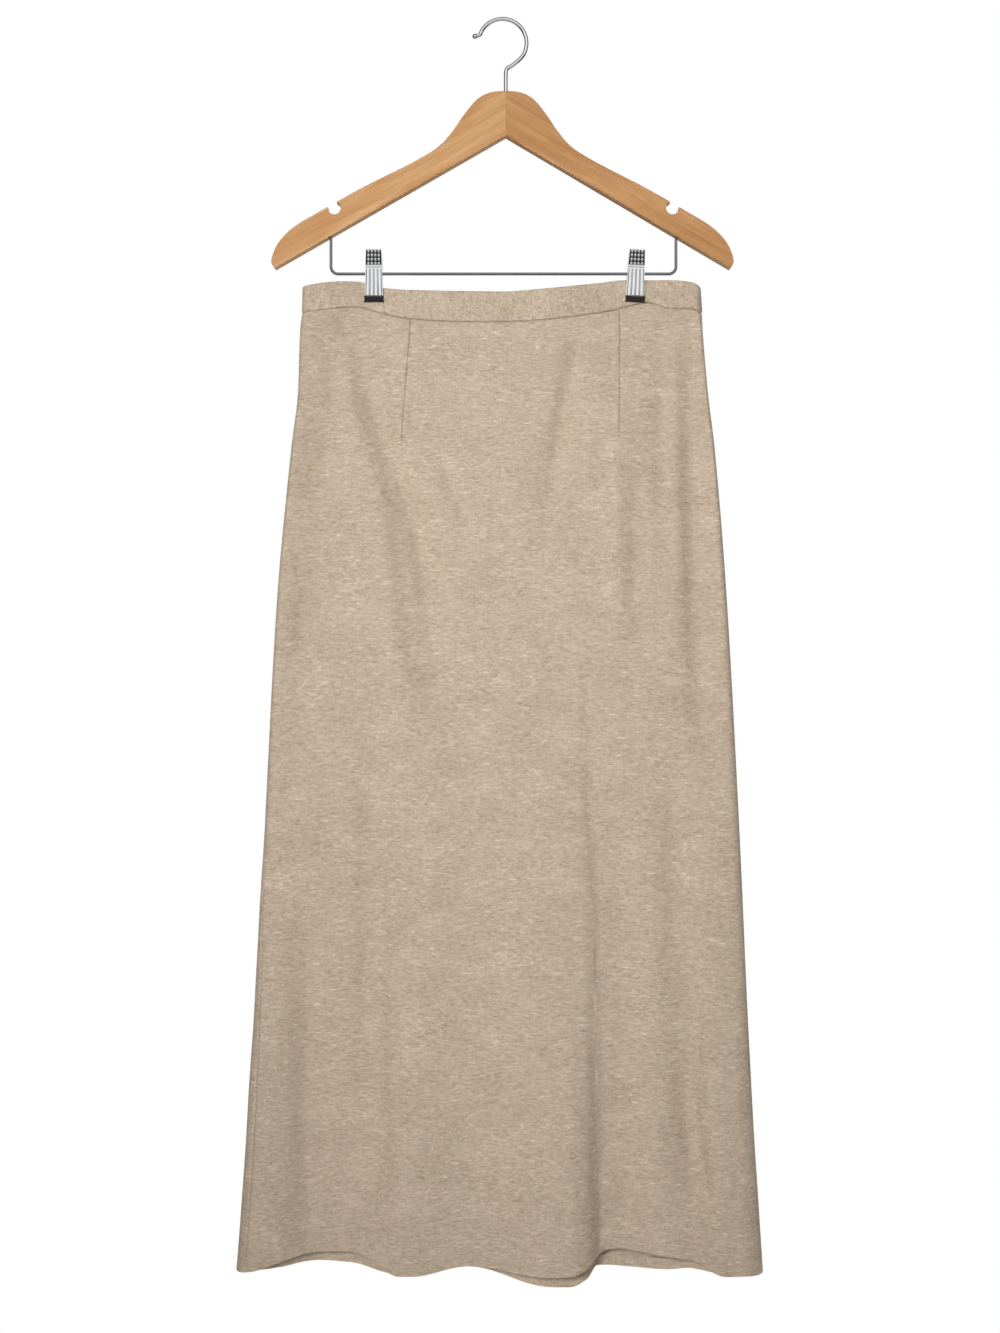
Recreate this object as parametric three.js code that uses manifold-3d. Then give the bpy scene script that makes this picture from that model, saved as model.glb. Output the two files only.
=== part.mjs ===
// A long A-line linen skirt that hangs from a wooden hanger by two spring clips.
// Millimetres, +Z up, +X to the right as the front is seen, +Y away from the front.
// The origin is the inside top of the hook, the point that bears on a rail.
import * as THREE from 'three';
import { mergeVertices } from 'three/addons/utils/BufferGeometryUtils.js';
import Module from 'manifold-3d';

const wasm = await Module();
wasm.setup();

// Layers of the skirt, and of a clip, by the way they face along Y
const FRONT = -1;
const BACK = 1;

// Gap between two sewn pieces, and between two fitted hard pieces
const SEAM_GAP = 0.3;
const FIT_GAP = 0.3;

// Corners closer than this are one corner
const MERGE_WITHIN = 1e-3;

// Cloth: the panels' wall, the hem turned up inside, and the waistband of several layers
const PANEL_WALL = 1.4;
const HEM_WALL = 2.0;
const HEM_TURN = 11.5;
const BAND_WALL = 2.4;
const BAND_PROUD = 0.5;
const BAND_HEIGHT = 30;
const HEM_STEP = 0.8;

// Half the depth from the front's face to the back's, and the rounding of the side folds
const WAIST_HALF_GAP = 7;
const CLIP_HALF_GAP = 2.75;
const HEM_HALF_GAP = 11;
const WAIST_SIDE_ROUND = 5.5;
const HEM_SIDE_ROUND = 9;

// A clip pinches the cloth flat over its own width, then lets go sideways and downwards
const PINCH_FLAT = 11;
const PINCH_REACH = 55;
const PINCH_DROP = 0.16;

// Length of the side seam, and the skirt's sides at each drop below the waist seam
const SIDE_LENGTH = 923;
const SIDES = [
  { drop: -BAND_HEIGHT, left: -192.5, right: 190.6 },
  { drop: 0, left: -193.5, right: 192.5 },
  { drop: 18, left: -195.4, right: 193.5 },
  { drop: 75, left: -197.3, right: 198.3 },
  { drop: 133, left: -204.1, right: 205.1 },
  { drop: 278, left: -217.6, right: 216.6 },
  { drop: 510, left: -230.2, right: 229.2 },
  { drop: 741, left: -243.7, right: 239.8 },
  { drop: 923, left: -257.2, right: 251.4 },
];

// Side seams swing round to the front towards the hem
const SEAM_SWINGS = [
  { drop: 0, left: 0, right: 0 },
  { drop: 480, left: 0, right: 0 },
  { drop: 670, left: 6.8, right: 0.2 },
  { drop: 923, left: 11.2, right: 3.4 },
];

// Heights of the waist seam and of the waistband's top, which sag between the clips
const WAIST = [
  { x: -193, seam: -281.9, top: -257.0 },
  { x: -160, seam: -278.0, top: -252.6 },
  { x: -142, seam: -276.3, top: -252.0 },
  { x: -118, seam: -281.9, top: -257.6 },
  { x: -88, seam: -288.6, top: -260.6 },
  { x: -50, seam: -291.0, top: -262.0 },
  { x: 0, seam: -291.5, top: -262.3 },
  { x: 36, seam: -289.6, top: -260.0 },
  { x: 94, seam: -282.4, top: -253.8 },
  { x: 113, seam: -278.0, top: -251.0 },
  { x: 140, seam: -272.2, top: -250.6 },
  { x: 160, seam: -278.0, top: -251.0 },
  { x: 181, seam: -279.0, top: -253.4 },
  { x: 193, seam: -282.8, top: -259.0 },
];

// Crest or trough of each hem wave: its depth (minus is forward), the share of the drop
// where it starts, and the height of the front's and the back's hem there
const HEM_WAVES = [
  { x: -257.2, depth: 2, start: 0.3, front: -1205.2, back: -1205.2 },
  { x: -237.9, depth: -7, start: 0.35, front: -1201.0, back: -1206.0 },
  { x: -178.0, depth: 12, start: 0.4, front: -1192.4, back: -1203.0 },
  { x: -150.1, depth: 12, start: 0.4, front: -1192.0, back: -1204.8 },
  { x: -98.9, depth: -9, start: 0.4, front: -1205.4, back: -1210.0 },
  { x: -84.4, depth: -9, start: 0.4, front: -1205.2, back: -1209.5 },
  { x: -33.3, depth: -3, start: 0.5, front: -1197.3, back: -1204.0 },
  { x: 43.9, depth: -15, start: 0.32, front: -1208.8, back: -1219.7 },
  { x: 65.1, depth: -16, start: 0.3, front: -1207.3, back: -1219.9 },
  { x: 80.6, depth: -9, start: 0.28, front: -1202.0, back: -1215.0 },
  { x: 91.2, depth: 11, start: 0.28, front: -1192.6, back: -1208.0 },
  { x: 105.7, depth: 15, start: 0.28, front: -1189.4, back: -1208.7 },
  { x: 156.8, depth: 6, start: 0.35, front: -1195.5, back: -1210.0 },
  { x: 180.9, depth: 4, start: 0.35, front: -1197.0, back: -1208.0 },
  { x: 213.7, depth: -9, start: 0.42, front: -1205.8, back: -1209.0 },
  { x: 234.0, depth: -9, start: 0.42, front: -1205.4, back: -1208.0 },
  { x: 251.4, depth: 0, start: 0.4, front: -1206.0, back: -1206.0 },
];
const WAVE_GROWTH = 1.3;

// Soft troughs that the clips drag in the cloth, and those along the sides
const DRAG_FOLDS = [
  { side: FRONT, x: -143, drop: 12, endX: -70, endDrop: 395, width: 13, depth: 2.6 },
  { side: FRONT, x: 67, drop: 37, endX: 39, endDrop: 173, width: 12, depth: 2.0 },
  { side: FRONT, x: -180, drop: 45, endX: -205, endDrop: 480, width: 12, depth: 3.0 },
  { side: FRONT, x: 176, drop: 31, endX: 200, endDrop: 480, width: 12, depth: 2.8 },
  { side: BACK, x: -120, drop: 20, endX: -64, endDrop: 350, width: 14, depth: 2.4 },
  { side: BACK, x: 128, drop: 20, endX: 78, endDrop: 330, width: 14, depth: 2.4 },
  { side: BACK, x: 180, drop: 60, endX: 204, endDrop: 480, width: 12, depth: 2.4 },
];

const DRAG_FADE_IN = { from: -0.1, to: 0.3 };
const DRAG_FADE_OUT = { from: 0.55, to: 1.1 };

// Sewn line of each dart, from the waist seam down, and the groove that it leaves
const DARTS = [
  { side: FRONT, x: -88.3, endX: -97.9 },
  { side: FRONT, x: 113.4, endX: 112.4 },
  { side: BACK, x: -95, endX: -99 },
  { side: BACK, x: 95, endX: 99 },
];
const DART_LENGTH = 124;
const DART_HALF_WIDTH = 0.9;
const DART_DEPTH = 0.5;
const DART_CLEAR = 0.8;

// Facets of the cloth: columns across a panel, rows down it, rows up the band, and the
// fine steps of a section before it is shared out
const PANEL_COLUMNS = 44;
const PANEL_ROWS = 21;
const BAND_ROWS = 3;
const SIDE_STEPS = 8;
const ACROSS_STEPS = 170;

// Hook: round wire bent into an open ring over a straight shank, with a ball on its tip
const HOOK_WIRE = 3.8;
const HOOK_RADIUS = 23.2;
const HOOK_FROM = THREE.MathUtils.degToRad(-30);
const HOOK_TO = THREE.MathUtils.degToRad(160);
const HOOK_STEPS = 20;
const HOOK_BALL = 5;
const HOOK_TIP = { x: -26.6, z: -14.9 };
const SHANK_TOP = -51;
const SHANK_BEND = { x: 1.3, z: 5 };
const SHANK_BOTTOM = -92;

// Wooden arms: one bowed outline about the neck, split at the centre joint
const NECK_X = 3.2;
const ARM_THICKNESS = 12;
const ARM_ROUND = 2.6;
const ARM_LEFT_REACH = 225.6;
const ARM_RIGHT_REACH = 219.2;
const ARM_REACH = 222.4;
const ARM_EDGE = [
  { out: 14, z: -70.8 },
  { out: 27, z: -77.3 },
  { out: 40, z: -92.7 },
  { out: 50.7, z: -108.2 },
  { out: 64.7, z: -123.6 },
  { out: 90.2, z: -139.1 },
  { out: 135.6, z: -162.2 },
  { out: 176.6, z: -185.4 },
  { out: 201.7, z: -200.8 },
  { out: 216.2, z: -216.3 },
  { out: 222.4, z: -232.5 },
];
const ARM_TOP = -69.6;
const ARM_CROTCH = -112;
const ARM_TIP = { out: 219, z: -239.5 };
const ARM_CURVE_STEPS = 4;
const NOTCH_OUT = 162.7;
const NOTCH_Z = -181.9;
const NOTCH_RADIUS = 6.2;

// Clip bar: wire bent down from a socket in each arm and across under them
const BAR_WIRE = 2.8;
const BAR_Z = -244.2;
const BAR_LEFT = -165.5;
const BAR_RIGHT = 167.4;
const BAR_CORNER = 7;
const BAR_TOP = -198;
const BAR_CORNER_STEPS = 5;

// Spring clips on the bar, each with two jaws, two pads and a spring, about the bar's axis
const CLIPS = [
  { name: 'left', x: -123.8, tilt: 0 },
  { name: 'right', x: 128.5, tilt: 0.045 },
];
const JAW_WIDTH = 16.2;
const JAW_FLARE = -0.0042;
const JAW_SHEET = 1;
const JAW_LINE = [
  { out: 9.4, z: 22 },
  { out: 7.0, z: 7 },
  { out: 6.4, z: 4.5 },
  { out: 6.6, z: 2 },
  { out: 5.4, z: -22.8 },
];
const CHEEK_HALF_HEIGHT = 6;
const CHEEK_PAST = 3.6;
const CHEEK_TAPER = 1;
const BAR_CLEAR = 0.7;
const RIB_COUNT = 4;
const RIB_PITCH = 3.7;
const RIB_WIDTH = 1.7;
const RIB_PROUD = 0.7;
const RIB_TOP = 0.5;
const RIB_BOTTOM = -21.8;
const PAD_WIDTH = 17.6;
const PAD_TOP = -23.1;
const PAD_BOTTOM = -28;
const PAD_DEPTH = 3.4;
const PAD_ROUND = 0.8;
const SPRING_RADIUS = 3.6;
const ROUND_SIDES = 10;

const X_AXIS = new THREE.Vector3(1, 0, 0);
const Y_AXIS = new THREE.Vector3(0, 1, 0);
const Z_AXIS = new THREE.Vector3(0, 0, 1);

const { lerp, smoothstep } = THREE.MathUtils;

const CLOTH = { color: 0xbda88f, roughness: 0.95, metalness: 0 };
const WOOD = { color: 0xc4935f, roughness: 0.45, metalness: 0 };
const CHROME = { color: 0xc9cbcc, roughness: 0.2, metalness: 1 };
const RUBBER = { color: 0x151515, roughness: 0.7, metalness: 0 };

// Value of a column at a place between a table's rows, on a smooth curve with no overshoot
function follow(table, key, column, place) {
  const last = table.length - 1;
  if (place <= table[0][key]) return table[0][column];
  if (place >= table[last][key]) return table[last][column];
  const span = (row) => table[row + 1][key] - table[row][key];
  const slope = (row) => (table[row + 1][column] - table[row][column]) / span(row);
  const tangent = (row) => {
    if (row === 0) return slope(0);
    if (row === last) return slope(last - 1);
    const before = slope(row - 1);
    const after = slope(row);
    return before * after <= 0 ? 0 : (2 * before * after) / (before + after);
  };
  let row = 0;
  while (place > table[row + 1][key]) row += 1;
  const t = (place - table[row][key]) / span(row);
  const rise = tangent(row) * t * (1 - t) ** 2 - tangent(row + 1) * t ** 2 * (1 - t);
  return lerp(table[row][column], table[row + 1][column], t ** 2 * (3 - 2 * t)) + rise * span(row);
}

// Closed solid of a geometry, for cutting and joining
function solidOf(geometry) {
  const bare = geometry.clone();
  bare.deleteAttribute('normal');
  bare.deleteAttribute('uv');
  const merged = mergeVertices(bare, MERGE_WITHIN);
  return new wasm.Manifold(new wasm.Mesh({
    numProp: 3,
    vertProperties: new Float32Array(merged.attributes.position.array),
    triVerts: new Uint32Array(merged.index.array),
  }));
}

// Geometry of a solid after its cuts and joins
function geometryOf(solid) {
  const mesh = solid.getMesh();
  const geometry = new THREE.BufferGeometry();
  geometry.setAttribute('position', new THREE.BufferAttribute(new Float32Array(mesh.vertProperties), 3));
  geometry.setIndex(new THREE.BufferAttribute(new Uint32Array(mesh.triVerts), 1));
  return geometry;
}

// Flat shape drawn in Y and Z, made as wide as given along X
function alongX(shape, width) {
  const geometry = new THREE.ExtrudeGeometry(shape, {
    depth: width,
    bevelEnabled: false,
    curveSegments: ROUND_SIDES / 2,
  });
  geometry.translate(0, 0, -width / 2);
  return geometry.applyMatrix4(new THREE.Matrix4().makeBasis(Y_AXIS, Z_AXIS, X_AXIS));
}

// Flat shape drawn in X and Z, made as thick as given along Y with rounded edges
function alongY(shape, thickness, round) {
  const geometry = new THREE.ExtrudeGeometry(shape, {
    depth: thickness - 2 * round,
    bevelEnabled: round > 0,
    bevelSize: round,
    bevelOffset: -round,
    bevelThickness: round,
    bevelSegments: 2,
    curveSegments: ARM_CURVE_STEPS,
  });
  geometry.translate(0, 0, round - thickness / 2);
  return geometry.applyMatrix4(new THREE.Matrix4().makeBasis(X_AXIS, Z_AXIS, Y_AXIS.clone().negate()));
}

// Round wire bent in the X-Z plane, with a ring of sides at each point of its path
function bentWire(points, diameter) {
  const positions = [];
  points.forEach((point, i) => {
    const before = points[Math.max(0, i - 1)];
    const after = points[Math.min(points.length - 1, i + 1)];
    const across = Y_AXIS.clone().cross(after.clone().sub(before).normalize());
    for (let k = 0; k < ROUND_SIDES; k += 1) {
      const angle = (k / ROUND_SIDES) * 2 * Math.PI;
      const spoke = across.clone().multiplyScalar(Math.cos(angle)).addScaledVector(Y_AXIS, Math.sin(angle));
      positions.push(...point.clone().addScaledVector(spoke, diameter / 2).toArray());
    }
  });
  const index = [];
  const last = ROUND_SIDES * (points.length - 1);
  for (let k = 0; k < ROUND_SIDES; k += 1) {
    const next = (k + 1) % ROUND_SIDES;
    for (let ring = 0; ring < last; ring += ROUND_SIDES) {
      index.push(ring + k, ring + next, ring + ROUND_SIDES + next);
      index.push(ring + k, ring + ROUND_SIDES + next, ring + ROUND_SIDES + k);
    }
    if (k > 0 && next > 0) {
      index.push(0, next, k, last, last + k, last + next);
    }
  }
  const geometry = new THREE.BufferGeometry();
  geometry.setAttribute('position', new THREE.Float32BufferAttribute(positions, 3));
  geometry.setIndex(index);
  return geometry;
}

// Upright round rod between two heights
function uprightRod(x, radius, bottom, top) {
  const rod = new THREE.CylinderGeometry(radius, radius, top - bottom, ROUND_SIDES);
  return rod.rotateX(Math.PI / 2).translate(x, 0, (top + bottom) / 2);
}

// Skirt's sides at a share of its drop, counted below zero in the waistband
function sidesAt(share) {
  const drop = share * SIDE_LENGTH;
  return { left: follow(SIDES, 'drop', 'left', drop), right: follow(SIDES, 'drop', 'right', drop) };
}

// Hem waves as they stand at a share of the drop, across that section
function wavesAt(share) {
  const hem = sidesAt(1);
  const here = sidesAt(share);
  return HEM_WAVES.map((wave) => {
    const across = (wave.x - hem.left) / (hem.right - hem.left);
    const grown = Math.max(0, (share - wave.start) / (1 - wave.start)) ** WAVE_GROWTH;
    return { x: lerp(here.left, here.right, across), depth: wave.depth * grown };
  });
}

// Half the gap between the layers, pinched under the clips
function halfGapAt(x, share) {
  const free = lerp(WAIST_HALF_GAP, HEM_HALF_GAP, Math.max(0, share));
  const nearest = Math.min(...CLIPS.map((clip) => Math.abs(x - clip.x)));
  const held = 1 - smoothstep(nearest, PINCH_FLAT, PINCH_REACH);
  const fade = 1 - smoothstep(share, 0, PINCH_DROP);
  return lerp(free, CLIP_HALF_GAP, held * fade);
}

// Depth of the dragged troughs of one layer at a point
function dragAt(x, share, side) {
  const drop = share * SIDE_LENGTH;
  const depths = DRAG_FOLDS.filter((fold) => fold.side === side).map((fold) => {
    const t = (drop - fold.drop) / (fold.endDrop - fold.drop);
    const centre = lerp(fold.x, fold.endX, t);
    const rise = smoothstep(t, DRAG_FADE_IN.from, DRAG_FADE_IN.to);
    const ends = rise * (1 - smoothstep(t, DRAG_FADE_OUT.from, DRAG_FADE_OUT.to));
    return fold.depth * ends * Math.exp(-(((x - centre) / fold.width) ** 2));
  });
  return depths.reduce((sum, depth) => sum + depth, 0);
}

// Closed section of the skirt: along the front from left to right, then back along the back
function ringAt(share) {
  const { left, right } = sidesAt(share);
  const waves = wavesAt(share);
  const round = lerp(WAIST_SIDE_ROUND, HEM_SIDE_ROUND, Math.max(0, share));
  const across = [];
  for (let i = 0; i < SIDE_STEPS; i += 1) {
    across.push(left + round * (1 - Math.cos((i / SIDE_STEPS) * (Math.PI / 2))));
  }
  for (let i = 0; i <= ACROSS_STEPS; i += 1) {
    across.push(lerp(left + round, right - round, i / ACROSS_STEPS));
  }
  for (let i = SIDE_STEPS - 1; i >= 0; i -= 1) {
    across.push(right - round * (1 - Math.cos((i / SIDE_STEPS) * (Math.PI / 2))));
  }
  const layer = (side) => across.map((x) => {
    const inset = Math.min(x - left, right - x, round);
    const turn = Math.sqrt(Math.max(0, 1 - (1 - inset / round) ** 2));
    const gap = halfGapAt(x, share) * turn - dragAt(x, share, side) * turn;
    return { x, y: follow(waves, 'x', 'depth', x) + side * gap, side };
  });
  const points = [...layer(FRONT), ...layer(BACK).reverse().slice(1, -1)];
  points.forEach((point, i) => {
    const before = points[(i + points.length - 1) % points.length];
    const after = points[(i + 1) % points.length];
    const length = Math.hypot(after.x - before.x, after.y - before.y);
    point.outX = (after.y - before.y) / length;
    point.outY = -(after.x - before.x) / length;
  });
  let run = 0;
  points.forEach((point, i) => {
    const before = points[Math.max(0, i - 1)];
    run += Math.hypot(point.x - before.x, point.y - before.y);
    point.run = run;
  });
  const closing = Math.hypot(points[0].x - points.at(-1).x, points[0].y - points.at(-1).y);
  return { points, left, right, length: run + closing };
}

// Point of a section at a run round it
function pointAt(ring, run) {
  const at = ((run % ring.length) + ring.length) % ring.length;
  const next = ring.points.findIndex((point) => point.run >= at);
  const b = next < 0 ? { ...ring.points[0], run: ring.length } : ring.points[next];
  const a = next < 0 ? ring.points.at(-1) : ring.points[Math.max(0, next - 1)];
  const t = b.run > a.run ? (at - a.run) / (b.run - a.run) : 0;
  const mix = (key) => lerp(a[key], b[key], t);
  return { x: mix('x'), y: mix('y'), outX: mix('outX'), outY: mix('outY'), side: t < 0.5 ? a.side : b.side };
}

// Runs round a section where a layer's piece starts and ends, clear of the seams
function seamsOf(ring, share, side) {
  const drop = share * SIDE_LENGTH;
  const leftX = ring.left + follow(SEAM_SWINGS, 'drop', 'left', drop);
  const rightX = ring.right - follow(SEAM_SWINGS, 'drop', 'right', drop);
  const front = ring.points.filter((point) => point.side === FRONT);
  const runAt = (x) => {
    const next = Math.max(1, front.findIndex((point) => point.x >= x));
    const a = front[next - 1];
    const b = front[next];
    return lerp(a.run, b.run, (x - a.x) / (b.x - a.x));
  };
  const leftRun = runAt(leftX);
  const rightRun = runAt(rightX);
  const half = SEAM_GAP / 2;
  if (side === FRONT) return { from: leftRun + half, to: rightRun - half };
  return { from: rightRun + half, to: ring.length + leftRun - half };
}

// Points across one layer's piece at a share of the drop
function lineAt(share, side) {
  const ring = ringAt(share);
  const { from, to } = seamsOf(ring, share, side);
  return Array.from({ length: PANEL_COLUMNS + 1 }, (_, column) => (
    pointAt(ring, lerp(from, to, column / PANEL_COLUMNS))
  ));
}

// Closed wall from rows of outer and inner points
function wallGeometry(rows) {
  const columns = rows[0].outer.length;
  const count = rows.length * columns;
  const positions = [];
  for (const face of ['outer', 'inner']) {
    rows.forEach((row) => row[face].forEach((point) => positions.push(...point)));
  }
  const index = [];
  const quad = (a, b, c, d) => index.push(a, b, c, a, c, d);
  const outer = (row, column) => row * columns + column;
  const inner = (row, column) => count + outer(row, column);
  for (let r = 0; r + 1 < rows.length; r += 1) {
    for (let c = 0; c + 1 < columns; c += 1) {
      quad(outer(r, c), outer(r + 1, c), outer(r + 1, c + 1), outer(r, c + 1));
      quad(inner(r, c), inner(r, c + 1), inner(r + 1, c + 1), inner(r + 1, c));
    }
    quad(outer(r, 0), inner(r, 0), inner(r + 1, 0), outer(r + 1, 0));
    quad(outer(r, columns - 1), outer(r + 1, columns - 1), inner(r + 1, columns - 1), inner(r, columns - 1));
  }
  const bottom = rows.length - 1;
  for (let c = 0; c + 1 < columns; c += 1) {
    quad(outer(0, c), outer(0, c + 1), inner(0, c + 1), inner(0, c));
    quad(outer(bottom, c), inner(bottom, c), inner(bottom, c + 1), outer(bottom, c + 1));
  }
  const geometry = new THREE.BufferGeometry();
  geometry.setAttribute('position', new THREE.Float32BufferAttribute(positions, 3));
  geometry.setIndex(index);
  return geometry;
}

// Outer and inner points of one row of cloth
function clothRow(line, heights, proud, wall) {
  const moved = (away) => line.map((point, column) => (
    [point.x + point.outX * away, point.y + point.outY * away, heights[column]]
  ));
  return { outer: moved(proud), inner: moved(proud - wall) };
}

// First column of a row that lies past an X, from either end
function columnPast(points, x) {
  return points.findIndex((point, i) => i > 0 && (point[0] - x) * (points[i - 1][0] - x) <= 0);
}

// Groove along a dart's sewn line, as a three-sided sliver that sinks into the outer face
function dartGroove(dart, rows) {
  const rings = [];
  const top = rows[0].outer;
  for (const { outer } of rows) {
    const next = columnPast(outer, dart.x);
    const drop = top[next][2] - outer[next][2];
    const t = Math.min(1, drop / DART_LENGTH);
    const x = lerp(dart.x, dart.endX, t);
    const at = columnPast(outer, x);
    const a = new THREE.Vector3(...outer[at - 1]);
    const b = new THREE.Vector3(...outer[at]);
    const centre = a.clone().lerp(b, (x - a.x) / (b.x - a.x));
    if (rings.length === 0) centre.z += DART_CLEAR;
    const out = new THREE.Vector3(0, dart.side, 0);
    const across = new THREE.Vector3(DART_HALF_WIDTH, 0, 0);
    const sunk = drop >= DART_LENGTH ? 0 : DART_DEPTH;
    const outside = centre.clone().addScaledVector(out, DART_CLEAR);
    rings.push([
      outside.clone().sub(across),
      outside.clone().add(across),
      centre.clone().addScaledVector(out, -sunk),
    ]);
    if (drop >= DART_LENGTH) break;
  }
  const positions = rings.flat().flatMap((point) => point.toArray());
  const index = [0, 2, 1];
  for (let r = 0; r + 1 < rings.length; r += 1) {
    for (let i = 0; i < 3; i += 1) {
      const a = 3 * r + i;
      const b = 3 * r + ((i + 1) % 3);
      index.push(a, b, b + 3, a, b + 3, a + 3);
    }
  }
  const last = 3 * (rings.length - 1);
  index.push(last, last + 1, last + 2);
  if (dart.side === BACK) index.reverse();
  const geometry = new THREE.BufferGeometry();
  geometry.setAttribute('position', new THREE.Float32BufferAttribute(positions, 3));
  geometry.setIndex(index);
  return geometry;
}

// Front or back panel, from the waist seam to the turned hem
function panel(side) {
  const turn = 1 - HEM_TURN / SIDE_LENGTH;
  const edge = HEM_STEP / 2 / SIDE_LENGTH;
  const shares = Array.from({ length: PANEL_ROWS + 1 }, (_, row) => ({
    share: (turn - edge) * (row / PANEL_ROWS),
    wall: PANEL_WALL,
  }));
  shares.push({ share: turn + edge, wall: HEM_WALL }, { share: 1, wall: HEM_WALL });
  const waistLine = lineAt(0, side);
  const hemLine = lineAt(1, side);
  const rows = shares.map(({ share, wall }) => {
    const heights = waistLine.map((point, column) => {
      const hem = hemLine[column];
      const seam = follow(WAIST, 'x', 'seam', point.x) - SEAM_GAP / 2;
      const hemColumn = hem.side === FRONT ? 'front' : 'back';
      return lerp(seam, follow(HEM_WAVES, 'x', hemColumn, hem.x), share);
    });
    return clothRow(lineAt(share, side), heights, 0, wall);
  });
  let solid = solidOf(wallGeometry(rows));
  for (const dart of DARTS.filter((line) => line.side === side)) {
    solid = solid.subtract(solidOf(dartGroove(dart, rows)));
  }
  return geometryOf(solid);
}

// Front or back waistband, standing a little proud of the panel below it
function waistband(side) {
  const rows = Array.from({ length: BAND_ROWS + 1 }, (_, row) => {
    const up = 1 - row / BAND_ROWS;
    const line = lineAt((-BAND_HEIGHT / SIDE_LENGTH) * up, side);
    const heights = line.map((point) => {
      const seam = follow(WAIST, 'x', 'seam', point.x) + SEAM_GAP / 2;
      return lerp(seam, follow(WAIST, 'x', 'top', point.x), up);
    });
    return clothRow(line, heights, BAND_PROUD, BAND_WALL);
  });
  return wallGeometry(rows);
}

// Wire hook from the shank in the wood, round the open ring, to the ball on the tip
function hook() {
  const centreZ = HOOK_WIRE / 2 - HOOK_RADIUS;
  const points = [
    new THREE.Vector3(NECK_X, 0, SHANK_BOTTOM),
    new THREE.Vector3(NECK_X, 0, (SHANK_BOTTOM + SHANK_TOP) / 2),
    new THREE.Vector3(NECK_X, 0, SHANK_TOP),
    new THREE.Vector3(NECK_X + SHANK_BEND.x, 0, SHANK_TOP + SHANK_BEND.z),
  ];
  for (let i = 0; i <= HOOK_STEPS; i += 1) {
    const angle = lerp(HOOK_FROM, HOOK_TO, i / HOOK_STEPS);
    points.push(new THREE.Vector3(HOOK_RADIUS * Math.cos(angle), 0, centreZ + HOOK_RADIUS * Math.sin(angle)));
  }
  points.push(new THREE.Vector3(HOOK_TIP.x, 0, HOOK_TIP.z));
  const wire = bentWire(points, HOOK_WIRE);
  const ball = new THREE.SphereGeometry(HOOK_BALL / 2, ROUND_SIDES, ROUND_SIDES / 2);
  ball.translate(HOOK_TIP.x, 0, HOOK_TIP.z);
  return geometryOf(solidOf(wire).add(solidOf(ball)));
}

// Whole bowed outline of the hanger, with its edges rounded
function hangerBlank() {
  const place = (sign, out) => {
    const reach = sign < 0 ? ARM_LEFT_REACH : ARM_RIGHT_REACH;
    return NECK_X + (sign * out * reach) / ARM_REACH;
  };
  const edge = (sign) => ARM_EDGE.map((row) => new THREE.Vector2(place(sign, row.out), row.z));
  const shape = new THREE.Shape();
  shape.moveTo(place(-1, ARM_TIP.out), ARM_TIP.z);
  shape.splineThru([...edge(-1).reverse(), new THREE.Vector2(NECK_X, ARM_TOP), ...edge(1)]);
  shape.lineTo(place(1, ARM_TIP.out), ARM_TIP.z);
  shape.lineTo(NECK_X, ARM_CROTCH);
  shape.closePath();
  let blank = solidOf(alongY(shape, ARM_THICKNESS, ARM_ROUND));
  for (const sign of [-1, 1]) {
    const notch = new THREE.CylinderGeometry(NOTCH_RADIUS, NOTCH_RADIUS, 2 * ARM_THICKNESS, 2 * ROUND_SIDES);
    blank = blank.subtract(solidOf(notch.translate(place(sign, NOTCH_OUT), 0, NOTCH_Z)));
  }
  const sockets = [
    uprightRod(NECK_X, HOOK_WIRE / 2 + FIT_GAP, SHANK_BOTTOM - FIT_GAP, SHANK_TOP),
    uprightRod(BAR_LEFT, BAR_WIRE / 2 + FIT_GAP, BAR_Z, BAR_TOP + FIT_GAP),
    uprightRod(BAR_RIGHT, BAR_WIRE / 2 + FIT_GAP, BAR_Z, BAR_TOP + FIT_GAP),
  ];
  return sockets.reduce((solid, socket) => solid.subtract(solidOf(socket)), blank);
}

// One arm of the hanger, on one side of the centre joint
function hangerArm(blank, sign) {
  const size = 2 * ARM_REACH;
  const half = new THREE.BoxGeometry(size, size, size);
  half.translate(NECK_X + sign * (size / 2 + FIT_GAP / 2), 0, ARM_CROTCH);
  return geometryOf(blank.intersect(solidOf(half)));
}

// Clip bar, down out of the left arm, across, and up into the right one
function clipBar() {
  const points = [new THREE.Vector3(BAR_LEFT, 0, BAR_TOP)];
  const corner = (x, from, to) => {
    for (let i = 0; i <= BAR_CORNER_STEPS; i += 1) {
      const angle = lerp(from, to, i / BAR_CORNER_STEPS);
      const dx = BAR_CORNER * Math.cos(angle);
      points.push(new THREE.Vector3(x + dx, 0, BAR_Z + BAR_CORNER + BAR_CORNER * Math.sin(angle)));
    }
  };
  corner(BAR_LEFT + BAR_CORNER, Math.PI, 1.5 * Math.PI);
  points.push(new THREE.Vector3(0, 0, BAR_Z));
  corner(BAR_RIGHT - BAR_CORNER, -Math.PI / 2, 0);
  points.push(new THREE.Vector3(BAR_RIGHT, 0, BAR_TOP));
  return bentWire(points, BAR_WIRE);
}

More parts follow.
